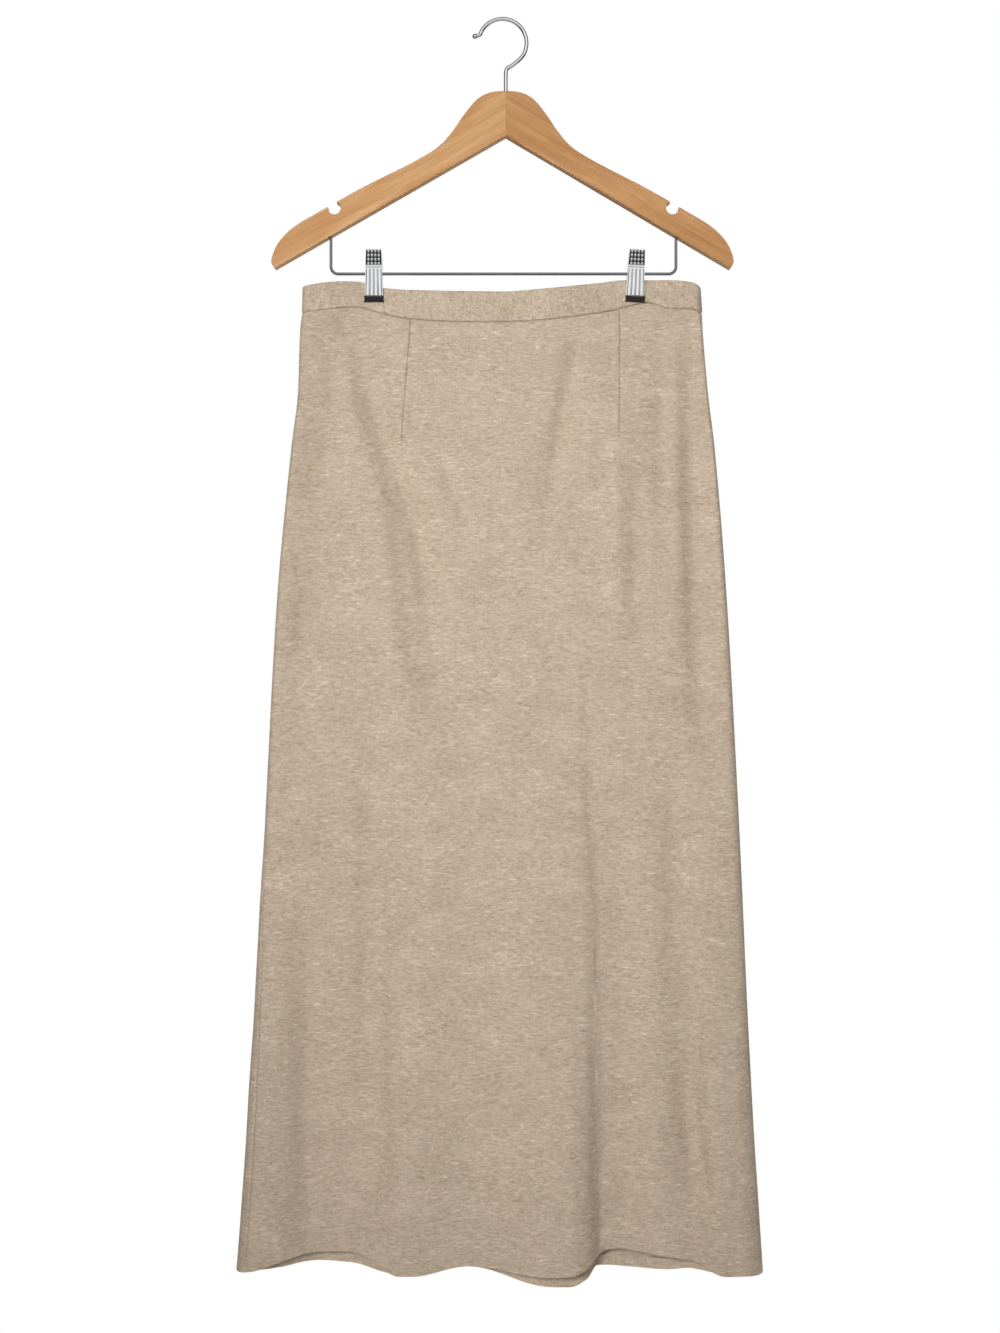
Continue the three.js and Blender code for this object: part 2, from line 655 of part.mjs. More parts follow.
// One jaw of a clip: bent plate with ribs, and two cheeks that the bar passes through
function clipJaw(side) {
  const line = (away) => JAW_LINE.map((row) => new THREE.Vector2(side * (row.out + away), row.z));
  const half = JAW_SHEET / 2;
  const plate = new THREE.Shape([...line(half), ...line(-half).reverse()]);
  let jaw = solidOf(alongX(plate, JAW_WIDTH));
  const cheek = new THREE.Shape();
  const [knee, tip] = JAW_LINE.slice(-2);
  const root = side * knee.out;
  const past = -side * CHEEK_PAST;
  cheek.moveTo(root, CHEEK_HALF_HEIGHT);
  cheek.lineTo(past / 2, CHEEK_HALF_HEIGHT - CHEEK_TAPER);
  cheek.lineTo(past, 0);
  cheek.lineTo(past / 2, CHEEK_TAPER - CHEEK_HALF_HEIGHT);
  cheek.lineTo(root, -CHEEK_HALF_HEIGHT);
  cheek.closePath();
  const hole = new THREE.Path();
  hole.absarc(0, 0, BAR_WIRE / 2 + BAR_CLEAR, 0, 2 * Math.PI);
  cheek.holes.push(hole);
  const nest = side === FRONT ? 0 : JAW_SHEET + FIT_GAP;
  for (const sign of [-1, 1]) {
    const flange = alongX(cheek, JAW_SHEET).translate(sign * (JAW_WIDTH / 2 - half - nest), 0, 0);
    jaw = jaw.add(solidOf(flange));
  }
  const lower = (z) => lerp(knee.out, tip.out, (knee.z - z) / (knee.z - tip.z));
  const rib = new THREE.Shape([
    new THREE.Vector2(side * lower(RIB_TOP), RIB_TOP),
    new THREE.Vector2(side * (lower(RIB_TOP) + half + RIB_PROUD), RIB_TOP),
    new THREE.Vector2(side * (lower(RIB_BOTTOM) + half + RIB_PROUD), RIB_BOTTOM),
    new THREE.Vector2(side * lower(RIB_BOTTOM), RIB_BOTTOM),
  ]);
  for (let i = 0; i < RIB_COUNT; i += 1) {
    const x = (i - (RIB_COUNT - 1) / 2) * RIB_PITCH;
    jaw = jaw.add(solidOf(alongX(rib, RIB_WIDTH).translate(x, 0, 0)));
  }
  const geometry = geometryOf(jaw);
  const position = geometry.attributes.position;
  for (let i = 0; i < position.count; i += 1) {
    position.setX(i, position.getX(i) * (1 + JAW_FLARE * position.getZ(i)));
  }
  return geometry;
}

// Rubber pad under a jaw's tip, bearing on the waistband
function clipPad(side) {
  const inner = CLIP_HALF_GAP + BAND_PROUD + FIT_GAP;
  const shape = new THREE.Shape();
  shape.moveTo(side * inner, PAD_TOP);
  shape.lineTo(side * (inner + PAD_DEPTH), PAD_TOP);
  shape.lineTo(side * (inner + PAD_DEPTH), PAD_BOTTOM + PAD_ROUND);
  shape.lineTo(side * (inner + PAD_DEPTH - PAD_ROUND), PAD_BOTTOM);
  shape.lineTo(side * inner, PAD_BOTTOM);
  shape.closePath();
  return alongX(shape, PAD_WIDTH);
}

// Coil spring round the bar, as a plain sleeve between the inner cheeks
function clipSpring() {
  const half = JAW_WIDTH / 2 - 2 * JAW_SHEET - 2 * FIT_GAP;
  const inner = BAR_WIRE / 2 + BAR_CLEAR;
  const profile = [
    new THREE.Vector2(inner, -half),
    new THREE.Vector2(SPRING_RADIUS, -half),
    new THREE.Vector2(SPRING_RADIUS, half),
    new THREE.Vector2(inner, half),
    new THREE.Vector2(inner, -half),
  ];
  return new THREE.LatheGeometry(profile, ROUND_SIDES).rotateZ(Math.PI / 2);
}

function named(name, geometry, finish) {
  const mesh = new THREE.Mesh(geometry, new THREE.MeshStandardMaterial(finish));
  mesh.name = name;
  return mesh;
}

// Clip with its jaws, pads and spring, turned a little about the bar as it hangs
function clip({ name, x, tilt }) {
  const group = new THREE.Group();
  for (const [side, word] of [[FRONT, 'front'], [BACK, 'back']]) {
    group.add(named(`clip_${name}_jaw_${word}`, clipJaw(side), CHROME));
    group.add(named(`clip_${name}_pad_${word}`, clipPad(side), RUBBER));
  }
  group.add(named(`clip_${name}_spring`, clipSpring(), CHROME));
  group.position.set(x, 0, BAR_Z);
  group.rotation.y = tilt;
  return group;
}

const skirt = new THREE.Group();
skirt.add(named('front_panel', panel(FRONT), CLOTH));
skirt.add(named('back_panel', panel(BACK), CLOTH));
skirt.add(named('waistband_front', waistband(FRONT), CLOTH));
skirt.add(named('waistband_back', waistband(BACK), CLOTH));

const hanger = new THREE.Group();
const blank = hangerBlank();
hanger.add(named('hanger_arm_left', hangerArm(blank, -1), WOOD));
hanger.add(named('hanger_arm_right', hangerArm(blank, 1), WOOD));
hanger.add(named('hook', hook(), CHROME));
hanger.add(named('clip_bar', clipBar(), CHROME));
CLIPS.forEach((place) => hanger.add(clip(place)));

const part = new THREE.Group();
part.add(skirt, hanger);

export default part;
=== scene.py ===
# Maxi skirt on a clip hanger: cloth, sewing, wood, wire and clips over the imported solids
import math
from collections import namedtuple

import bmesh
import bpy
import numpy as np
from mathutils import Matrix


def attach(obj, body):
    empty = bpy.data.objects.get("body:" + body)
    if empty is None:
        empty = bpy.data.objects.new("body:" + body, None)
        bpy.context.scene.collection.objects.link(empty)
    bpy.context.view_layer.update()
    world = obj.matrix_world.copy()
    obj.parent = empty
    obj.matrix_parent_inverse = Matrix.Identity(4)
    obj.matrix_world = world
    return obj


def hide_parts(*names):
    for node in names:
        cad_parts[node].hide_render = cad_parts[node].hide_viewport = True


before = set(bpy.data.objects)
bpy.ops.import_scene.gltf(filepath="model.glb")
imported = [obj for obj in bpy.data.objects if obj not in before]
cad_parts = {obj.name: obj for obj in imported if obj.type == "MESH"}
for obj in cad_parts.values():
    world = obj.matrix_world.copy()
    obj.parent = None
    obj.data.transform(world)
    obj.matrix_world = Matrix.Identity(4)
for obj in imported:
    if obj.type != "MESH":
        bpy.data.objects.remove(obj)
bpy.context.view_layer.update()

# Metres in a millimetre, and the metres within which points count as one
MM = 0.001
TOUCH = 1e-6
TINY = 1e-9
TURN = 2 * math.pi
FRONT = -1
BACK = 1
BODY = "root"


def table(columns, *rows):
    """Columns of numbers by name, from a row for each section, fold or crease."""
    return dict(zip(columns.split(), np.array(rows, float).T))


# Sizes of the cloth in millimetres, as the solids have them
SIDE_LENGTH = 923
BAND_HEIGHT = 30
BAND_PROUD = 0.5
WAIST_HALF_GAP = 7
CLIP_HALF_GAP = 2.75
HEM_HALF_GAP = 11
WAIST_SIDE_ROUND = 5.5
HEM_SIDE_ROUND = 9
PINCH_FLAT = 11
PINCH_REACH = 55
PINCH_DROP = 0.16
HEM_TURN = 11.5
DART_LENGTH = 124

SIDES = table(
    "drop left right",
    (-30, -192.5, 190.6),
    (0, -193.5, 192.5),
    (18, -195.4, 193.5),
    (75, -197.3, 198.3),
    (133, -204.1, 205.1),
    (278, -217.6, 216.6),
    (510, -230.2, 229.2),
    (741, -243.7, 239.8),
    (923, -257.2, 251.4),
)
SEAM_SWINGS = table("drop left right", (0, 0, 0), (480, 0, 0), (670, 6.8, 0.2), (923, 11.2, 3.4))
WAIST = table(
    "x seam top",
    (-193, -281.9, -257.0),
    (-160, -278.0, -252.6),
    (-142, -276.3, -252.0),
    (-118, -281.9, -257.6),
    (-88, -288.6, -260.6),
    (-50, -291.0, -262.0),
    (0, -291.5, -262.3),
    (36, -289.6, -260.0),
    (94, -282.4, -253.8),
    (113, -278.0, -251.0),
    (140, -272.2, -250.6),
    (160, -278.0, -251.0),
    (181, -279.0, -253.4),
    (193, -282.8, -259.0),
)
# The front's heights are 2 to 4 mm above the solid's at the hem's three openings
HEM_WAVES = table(
    "x depth start front back",
    (-257.2, 2, 0.3, -1205.2, -1205.2),
    (-237.9, -7, 0.35, -1201.0, -1206.0),
    (-178.0, 12, 0.4, -1189.0, -1203.0),
    (-150.1, 12, 0.4, -1188.0, -1204.8),
    (-98.9, -9, 0.4, -1205.4, -1210.0),
    (-84.4, -9, 0.4, -1205.2, -1209.5),
    (-33.3, -3, 0.5, -1197.3, -1204.0),
    (43.9, -15, 0.32, -1204.8, -1219.7),
    (65.1, -16, 0.3, -1203.3, -1219.9),
    (80.6, -9, 0.28, -1198.5, -1215.0),
    (91.2, 11, 0.28, -1189.0, -1208.0),
    (105.7, 15, 0.28, -1185.4, -1208.7),
    (156.8, 6, 0.35, -1191.5, -1210.0),
    (180.9, 4, 0.35, -1195.0, -1208.0),
    (213.7, -9, 0.42, -1205.8, -1209.0),
    (234.0, -9, 0.42, -1205.4, -1208.0),
    (251.4, 0, 0.4, -1206.0, -1206.0),
)
WAVE_GROWTH = 1.3
DRAG_FOLDS = table(
    "side x drop end_x end_drop width depth",
    (FRONT, -143, 12, -70, 395, 13, 2.6),
    (FRONT, 67, 37, 39, 173, 12, 2.0),
    (FRONT, -180, 45, -205, 480, 12, 3.0),
    (FRONT, 176, 31, 200, 480, 12, 2.8),
    (BACK, -120, 20, -64, 350, 14, 2.4),
    (BACK, 128, 20, 78, 330, 14, 2.4),
    (BACK, 180, 60, 204, 480, 12, 2.4),
)
DRAG_FADE_IN = (-0.1, 0.3)
DRAG_FADE_OUT = (0.55, 1.1)
DARTS = table(
    "side x end_x",
    (FRONT, -88.3, -97.9),
    (FRONT, 113.4, 112.4),
    (BACK, -95, -99),
    (BACK, 95, 99),
)

# Creases finer than the solids' folds: start, end, width, and depth, minus for a trough, plus for a ridge
CREASES = table(
    "side x z end_x end_z width depth",
    (FRONT, -146, -296, -66, -555, 13, -6.8),
    (FRONT, -84, -450, -58, -700, 13, -5.4),
    (FRONT, -122, -410, -98, -700, 14, 5.0),
    (FRONT, 74, -306, 44, -480, 10, -5.6),
    (FRONT, -156, -262, -192, -680, 13, -7.0),
    (FRONT, 182, -250, 190, -700, 14, -6.5),
    (FRONT, 152, -310, 156, -540, 11, -3.8),
    (FRONT, -178, -286, -166, -335, 8, -1.6),
    (FRONT, -58, -425, -28, -495, 9, -4.0),
    (FRONT, 108, -428, 110, -580, 11, 4.2),
    (FRONT, 130, -440, 128, -600, 11, -2.4),
    (FRONT, 166, -720, 165, -940, 14, -5.0),
    (FRONT, -124, -690, -122, -1250, 15, -7.5),
    (FRONT, -190, -860, -184, -1250, 14, -4.5),
    # Two ridges that ease the flank of the deep fold
    (FRONT, 81.6, -770, 90, -1250, 6, 4.0),
    (FRONT, 94.6, -770, 103, -1250, 15, 5.5),
    (FRONT, 150, -850, 150, -1200, 13, 3.0),
    (FRONT, 169, -1010, 208, -1180, 9, -4.2),
    (FRONT, 182, -860, 184, -1250, 12, -6.0),
    (FRONT, 22, -312, 52, -315, 4, -1.0),
    (FRONT, -20, -402, 24, -396, 5, -1.0),
    (FRONT, 30, -428, 66, -436, 5, -1.0),
    (FRONT, 10, -640, 14, -900, 16, -1.0),
    (BACK, -122, -300, -66, -640, 8, -2.2),
    (BACK, 128, -300, 80, -620, 8, -2.2),
    (BACK, -40, -410, -66, -480, 8, -1.2),
    (BACK, 70, -520, 64, -640, 9, 1.2),
    (BACK, -150, -760, -152, -960, 12, -2.0),
    (BACK, 150, -900, 172, -1230, 11, -2.6),
    (BACK, -190, -1010, -214, -1230, 9, -2.4),
    (BACK, -40, -900, -30, -1230, 12, -2.4),
    (BACK, 40, -980, 52, -1230, 10, -2.0),
    (BACK, -26, -316, 16, -312, 4, -0.6),
    (BACK, 10, -420, 50, -428, 5, -0.6),
)
BAND_CREASES = table(
    "side x z end_x end_z width depth",
    (FRONT, -166, -256, -158, -280, 7, -2.4),
    (FRONT, 140, -252, 164, -266, 6, -2.4),
    (FRONT, 162, -262, 170, -280, 5, -1.6),
    (FRONT, 90, -266, 119, -259, 2.2, -0.6),
    (FRONT, -96, -258, -90, -282, 6, -0.5),
    (BACK, -166, -256, -160, -276, 5, -1.2),
    (BACK, 160, -254, 156, -272, 5, -1.2),
    (BACK, 88, -262, 96, -280, 4, -0.6),
)
CREASE_FADE_IN = (-0.2, 0.3)
CREASE_FADE_OUT = (0.6, 1.2)

# Fine uneven swelling of the cloth, in waves of seeded length, turn and place
RIPPLES = 26
RIPPLE_DEPTH = 0.11
RIPPLE_LENGTHS = (38, 120)
RIPPLE_TURN = 0.55
RIPPLE_STRETCH = 0.6
RIPPLE_SEED = 11

# Walls of the shells, and how their edges roll into the seams and folds
CLOTH_WALL = 1.0
HEM_WALL = 2.0
HEM_STEP = 0.8
BAND_WALL = 2.0
SEAM_ROLL = 1.1
SEAM_ROLL_WIDTH = 2.4
WAIST_ROLL = 1.7
WAIST_ROLL_WIDTH = 2.8
HEM_FOLD = 0.7
HEM_FOLD_WIDTH = 1.2
BAND_FOLD = 0.8
BAND_FOLD_WIDTH = 1.6
SEAM_GAP = 0.1
DART_GROOVE = 1.1
DART_GROOVE_WIDTH = 0.42
DART_PUFF = 0.3
DART_PUFF_AT = 3.2
DART_PUFF_WIDTH = 2.4
DART_FADE = 7
STITCH_DENT = 0.32
STITCH_DENT_WIDTH = 0.8
STITCH_INSET = 1

# Widths over which creases grow from the side seams, the waist seam and the clips
PANEL_SIDE_CALM = 12
PANEL_WAIST_CALM = 10
BAND_SIDE_CALM = 8
BAND_WAIST_CALM = 6
CLIP_CALM = 6

# Rows down the cloth and columns across it, close together where it is sewn
TOP_ROWS = np.array((0, 0.5, 1.2, 2.1, 3.4, 5.2, 8.0))
HEM_ROWS = np.array((15, 13.4, 12.6, 12.1, 11.8, 11.5, 11.1, 10.6, 9.6, 7.5, 5, 3, 1.8, 1.1, 0.6, 0.25, 0))
BAND_FOOT_ROWS = np.array((0, 0.5, 1.2, 2.2, 3.6))
BAND_TOP_ROWS = np.array((3.0, 1.7, 1.0, 0.5, 0.2, 0))
PANEL_ROWS = 222
BAND_ROWS = 12
EDGE_COLUMNS = np.array((0, 0.4, 0.9, 1.7))
EDGE_MARGIN = 2.8
DART_COLUMNS = np.array((-2.2, -1.2, -0.6, -0.28, 0, 0.28, 0.6, 1.2, 2.2))
DART_MARGIN = 3.6
COLUMN_PITCH = 3.4
LEAST_COLUMNS = 8
SIDE_STEPS = 24
ACROSS_STEPS = 560

# Hanger sizes in millimetres, as the solids have them
HOOK_WIRE = 3.8
HOOK_RADIUS = 23.2
HOOK_FROM = math.radians(-30)
HOOK_TO = math.radians(160)
HOOK_STEPS = 20
HOOK_SMOOTHING = 5
HOOK_BALL = 5
HOOK_TIP = (-26.6, -14.9)
SHANK_TOP = -51
SHANK_BEND = (1.3, 5)
HOOK_NECK = ((7.3, -44.4), (11.7, -41.2), (16.5, -37.2))
SHANK_BOTTOM = -92
NECK_X = 3.2
ARM_THICKNESS = 12
ARM_ROUND = 2.4
ARM_ROUND_STEPS = 5
ARM_REACHES = {-1: 225.6, 1: 219.2}
ARM_REACH = 222.4
ARM_EDGE = table(
    "out z",
    (14, -70.8),
    (27, -77.3),
    (40, -92.7),
    (50.7, -108.2),
    (64.7, -123.6),
    (90.2, -139.1),
    (135.6, -162.2),
    (176.6, -185.4),
    (201.7, -200.8),
    (216.2, -216.3),
    (222.4, -232.5),
)
ARM_TOP = -69.6
ARM_CROTCH = -112
ARM_TIP = (219, -239.5)
ARM_STEPS = 14
ARM_JOINT_GAP = 0.02
JOINT_GROOVE = 0.7
NOTCH_OUT = 162.7
NOTCH_Z = -181.9
NOTCH_RADIUS = 6.2
NOTCH_STEPS = 20
BAR_WIRE = 2.8
BAR_Z = -244.2
BAR_LEFT = -165.5
BAR_RIGHT = 167.4
BAR_CORNER = 7
BAR_CORNER_STEPS = 10
BAR_TOP = -198
WIRE_SIDES = 20
CLIPS = (("left", -123.8, 0.0), ("right", 128.5, 0.045))
CLIP_X = [x for _, x, _ in CLIPS]
JAW_WIDTH = 16.2
JAW_FLARE = -0.0042
JAW_SHEET = 1.0
JAW_LINE = table("z out", (-22.8, 5.4), (2, 6.6), (4.5, 6.4), (7, 7.0), (22, 9.4))
JAW_ROWS = np.array((
    22, 21, 18, 14, 10, 8, 7, 6.4, 5.8, 5.1, 4.5, 3.9, 3.2, 2, 0, -6, -12, -18, -21.5, -22.8,
))
JAW_COLUMNS = 12
JAW_EDGE = 0.32
JAW_RIM = math.radians(60)
CHEEK_ROOT = 2.0
CHEEK_HALF_HEIGHT = 6
CHEEK_PAST = 3.6
CHEEK_TAPER = 1
CHEEK_SPOKES = 48
BAR_CLEAR = 0.7
FIT_GAP = 0.3
RIB_COUNT = 4
RIB_PITCH = 3.7
RIB_HALF_WIDTH = 1.85
RIB_HEIGHT = 1.3
RIB_TOP = 3.4
RIB_BOTTOM = -21.8
DOT_ROWS = 4
DOT_PITCH = 3.55
DOT_RISE = 3.85
DOT_FOOT = 8.4
DOT_RADIUS = 1.5
DOT_HEIGHT = 0.55
PAD_WIDTH = 17.6
PAD_TOP = -23.1
PAD_BOTTOM = -28
PAD_DEPTH = 3.4
PAD_EDGE = 0.6
SPRING_RADIUS = 3.1
SPRING_WIRE = 0.9
SPRING_TURNS = 7

# Degrees between faces past which an edge stays sharp
CLOTH_SHARP = 70
WIRE_SHARP = 50
ARM_SHARP = 35
CLIP_SHARP = 40

# Stitches of the hem in millimetres
STITCH_PITCH = 3.4
STITCH_LENGTH = 2.7
STITCH_WIDTH = 0.55

# Weave: heights in millimetres, threads and spots in metres along and across, shares of the tone
THREAD_HEIGHT = 0.1
CRUMPLE_HEIGHT = 1.3
ROW_STEP = 7.31
WEFT = (0.006, 0.0011)
WARP = (0.005, 0.0011)
SLUB = (0.012, 0.0014)
DARK_SLUB = 0.5
DRIFT_SPOT = (0.03, 0.02)
DRIFT = 0.0005
MOTTLE_SPOT = (0.045, 0.028)
MOTTLE_SHARE = 0.22
CRUMPLE_SPOT = (0.034, 0.02)
VEIN_SPOT = (0.024, 0.013)
VEIN_FALL = 22.0
VEIN_SHARE = 0.2
PATCH_SPOT = (0.05, 0.04)
PATCH_GAIN = 5.0
MIDDLE_TONE = 0.5

# Wood grain: scales along X, Y and Z, shares of the tone, roughness, and its turn along an arm
RINGS = (9, 60, 150)
PORES = (60, 900, 1300)
CLOUDS = (22, 30, 30)
RING_SHARE = 1.6
PORE_SHARE = 0.45
CLOUD_SHARE = 0.35
GRAIN_TONE = -0.7
GRAIN_ROUGH = (0.3, 0.48)
GRAIN_TURN = math.radians(29.7)

# Bumps of the finishes: strength, and distance in metres
CLOTH_BUMP = (1.0, 1.0)
WOOD_BUMP = (0.2, 0.0002)
PLAIN_BUMP = (0.06, 0.0001)

# Camera: the photograph's frame, in metres across the part's own plane
VIEW_DISTANCE = 1.7
VIEW_HEIGHT = 1.2864
VIEW_CENTRE = (-0.0024, -0.623)
SENSOR = 36


# Plain sums

def lerp(a, b, t):
    return a + (b - a) * t


def smooth(value, start, end):
    t = np.clip((value - start) / (end - start), 0, 1)
    return t * t * (3 - 2 * t)


def bell(distance, width):
    return np.exp(-((distance / width) ** 2))


def roll(distance, width):
    """Quarter round from 1 at an edge to 0 at a width away from it."""
    t = np.clip(1 - distance / width, 0, 1)
    return 1 - np.sqrt(1 - t * t)


def curve_through(keys, values, place):
    """Smooth curve through points that doesn't overshoot, held level past its ends."""
    span = np.diff(keys)
    slope = np.diff(values) / span
    before, after = slope[:-1], slope[1:]
    same_way = before * after > 0
    total = np.where(same_way, before + after, 1)
    inner = np.where(same_way, 2 * before * after / total, 0)
    tangent = np.concatenate((slope[:1], inner, slope[-1:]))
    place = np.clip(place, keys[0], keys[-1])
    row = np.clip(np.searchsorted(keys, place) - 1, 0, len(span) - 1)
    t = (place - keys[row]) / span[row]
    rise = tangent[row] * t * (1 - t) ** 2 - tangent[row + 1] * t * t * (1 - t)
    return lerp(values[row], values[row + 1], t * t * (3 - 2 * t)) + rise * span[row]


def follow(rows, key, column, place):
    return curve_through(rows[key], rows[column], place)


def rows_of(rows, side):
    """Rows of a table that belong to one side of the skirt, each as a list of its numbers."""
    columns = [values[rows["side"] == side] for name, values in rows.items() if name != "side"]
    return list(zip(*columns))


# Form of the skirt

Section = namedtuple("Section", "x y out_x out_y run length front")


def from_clip(x):
    """Distance across from the nearer clip."""
    return np.min([np.abs(x - place) for place in CLIP_X], axis=0)


def half_gap(x, share):
    free = lerp(WAIST_HALF_GAP, HEM_HALF_GAP, max(0, share))
    held = 1 - smooth(from_clip(x), PINCH_FLAT, PINCH_REACH)
    fade = 1 - smooth(share, 0, PINCH_DROP)
    return lerp(free, CLIP_HALF_GAP, held * fade)


def drag(x, share, side):
    drop = share * SIDE_LENGTH
    depth = np.zeros_like(x)
    for start_x, start, end_x, end, width, deep in rows_of(DRAG_FOLDS, side):
        t = (drop - start) / (end - start)
        ends = smooth(t, *DRAG_FADE_IN) * (1 - smooth(t, *DRAG_FADE_OUT))
        depth += deep * ends * bell(x - lerp(start_x, end_x, t), width)
    return depth


def section(share):
    """Closed outline at a share of the drop: the front from left to right, then the back."""
    drop = share * SIDE_LENGTH
    left = float(follow(SIDES, "drop", "left", drop))
    right = float(follow(SIDES, "drop", "right", drop))
    hem_left, hem_right = SIDES["left"][-1], SIDES["right"][-1]
    across = (HEM_WAVES["x"] - hem_left) / (hem_right - hem_left)
    grown = np.maximum(0, (share - HEM_WAVES["start"]) / (1 - HEM_WAVES["start"])) ** WAVE_GROWTH
    side_round = lerp(WAIST_SIDE_ROUND, HEM_SIDE_ROUND, max(0, share))
    arc = side_round * (1 - np.cos(np.arange(SIDE_STEPS) / SIDE_STEPS * math.pi / 2))
    middle = np.linspace(left + side_round, right - side_round, ACROSS_STEPS + 1)
    x = np.concatenate((left + arc, middle, (right - arc)[::-1]))
    inset = np.minimum(np.minimum(x - left, right - x), side_round)
    turn = np.sqrt(np.maximum(0, 1 - (1 - inset / side_round) ** 2))
    wave = curve_through(lerp(left, right, across), HEM_WAVES["depth"] * grown, x)
    gap = half_gap(x, share)
    near, far = (wave + side * turn * (gap - drag(x, share, side)) for side in (FRONT, BACK))
    ring_x = np.concatenate((x, x[-2:0:-1]))
    ring_y = np.concatenate((near, far[-2:0:-1]))
    step_x = np.roll(ring_x, -1) - np.roll(ring_x, 1)
    step_y = np.roll(ring_y, -1) - np.roll(ring_y, 1)
    length = np.hypot(step_x, step_y)
    steps = np.hypot(np.diff(ring_x, append=ring_x[0]), np.diff(ring_y, append=ring_y[0]))
    run = np.concatenate(((0,), np.cumsum(steps)))
    return Section(ring_x, ring_y, step_y / length, -step_x / length, run[:-1], run[-1], len(x))


def run_at(cut, x, side):
    """Run round a section to the place where one of its layers crosses an X."""
    if side == FRONT:
        return np.interp(x, cut.x[:cut.front], cut.run[:cut.front])
    return np.interp(-x, -cut.x[cut.front - 1:], cut.run[cut.front - 1:])


def seam_runs(cut, share, side):
    drop = share * SIDE_LENGTH
    left = run_at(cut, cut.x[0] + follow(SEAM_SWINGS, "drop", "left", drop), FRONT)
    right = run_at(cut, cut.x[cut.front - 1] - follow(SEAM_SWINGS, "drop", "right", drop), FRONT)
    half = SEAM_GAP / 2
    if side == FRONT:
        return left + half, right - half
    return right + half, cut.length + left - half


def dart_runs(cut, share, side, start, end):
    """Runs of the dart lines, which go on down the cloth from the darts' points."""
    rows = rows_of(DARTS, side)
    tip_share = DART_LENGTH / SIDE_LENGTH
    if share <= tip_share:
        t = share / tip_share
        return sorted(float(run_at(cut, lerp(x, end_x, t), side)) for x, end_x in rows)
    tip = section(tip_share)
    tip_start, tip_end = seam_runs(tip, tip_share, side)
    shares = [(run_at(tip, end_x, side) - tip_start) / (tip_end - tip_start) for _, end_x in rows]
    return sorted(float(lerp(start, end, part)) for part in shares)


def column_runs(start, darts, end, counts):
    """Runs of the columns of a row, close together at its seams and along its darts."""
    parts = [start + EDGE_COLUMNS]
    at = start + EDGE_MARGIN
    for dart, count in zip(darts, counts):
        parts += [np.linspace(at, dart - DART_MARGIN, count), dart + DART_COLUMNS]
        at = dart + DART_MARGIN
    parts += [np.linspace(at, end - EDGE_MARGIN, counts[-1]), end - EDGE_COLUMNS[::-1]]
    return np.concatenate(parts)


def sample(cut, runs):
    run = np.append(cut.run, cut.length)
    at = np.mod(runs, cut.length)
    return [np.interp(at, run, np.append(row, row[0])) for row in (cut.x, cut.y, cut.out_x, cut.out_y)]


def creases(rows, side, x, z):
    depth = np.zeros_like(x)
    for start_x, start_z, end_x, end_z, width, deep in rows_of(rows, side):
        dx, dz = end_x - start_x, end_z - start_z
        length = math.hypot(dx, dz)
        t = ((x - start_x) * dx + (z - start_z) * dz) / length**2
        off = ((x - start_x) * dz - (z - start_z) * dx) / length
        ends = smooth(t, *CREASE_FADE_IN) * (1 - smooth(t, *CREASE_FADE_OUT))
        depth += deep * ends * bell(off, width)
    return depth


def ripples(side, x, z):
    draw = np.random.default_rng(RIPPLE_SEED + side)
    depth = np.zeros_like(x)
    for _ in range(RIPPLES):
        length = draw.uniform(*RIPPLE_LENGTHS)
        turn = draw.normal(0, RIPPLE_TURN)
        phase = draw.uniform(0, TURN)
        along = (x * math.cos(turn) + RIPPLE_STRETCH * z * math.sin(turn)) / length
        depth += RIPPLE_DEPTH * np.sin(TURN * along + phase)
    return depth


Grid = namedtuple("Grid", "x y out_x out_y run start end darts")


def cloth_grid(shares, side, with_darts):
    """Points of a layer's outer face, a row for each share of the drop."""
    cuts = [section(share) for share in shares]
    ends = [seam_runs(cut, share, side) for cut, share in zip(cuts, shares)]
    darts = [
        dart_runs(cut, share, side, *edge) if with_darts else []
        for cut, share, edge in zip(cuts, shares, ends)
    ]
    widest = int(np.argmax([end - start for start, end in ends]))
    stops = [ends[widest][0], *darts[widest], ends[widest][1]]
    counts = [max(LEAST_COLUMNS, round(span / COLUMN_PITCH)) for span in np.diff(stops)]
    runs = np.array([
        column_runs(start, dart, end, counts) for (start, end), dart in zip(ends, darts)
    ])
    x, y, out_x, out_y = np.moveaxis(np.array([sample(cut, row) for cut, row in zip(cuts, runs)]), 1, 0)
    start, end = np.array(ends).T[:, :, None]
    return Grid(x, y, out_x, out_y, runs, start, end, np.array(darts)), cuts


def placed(grid, z, away):
    """Points of a face moved out from the solid's outer face, in metres."""
    return np.stack((grid.x + grid.out_x * away, grid.y + grid.out_y * away, z), axis=-1) * MM


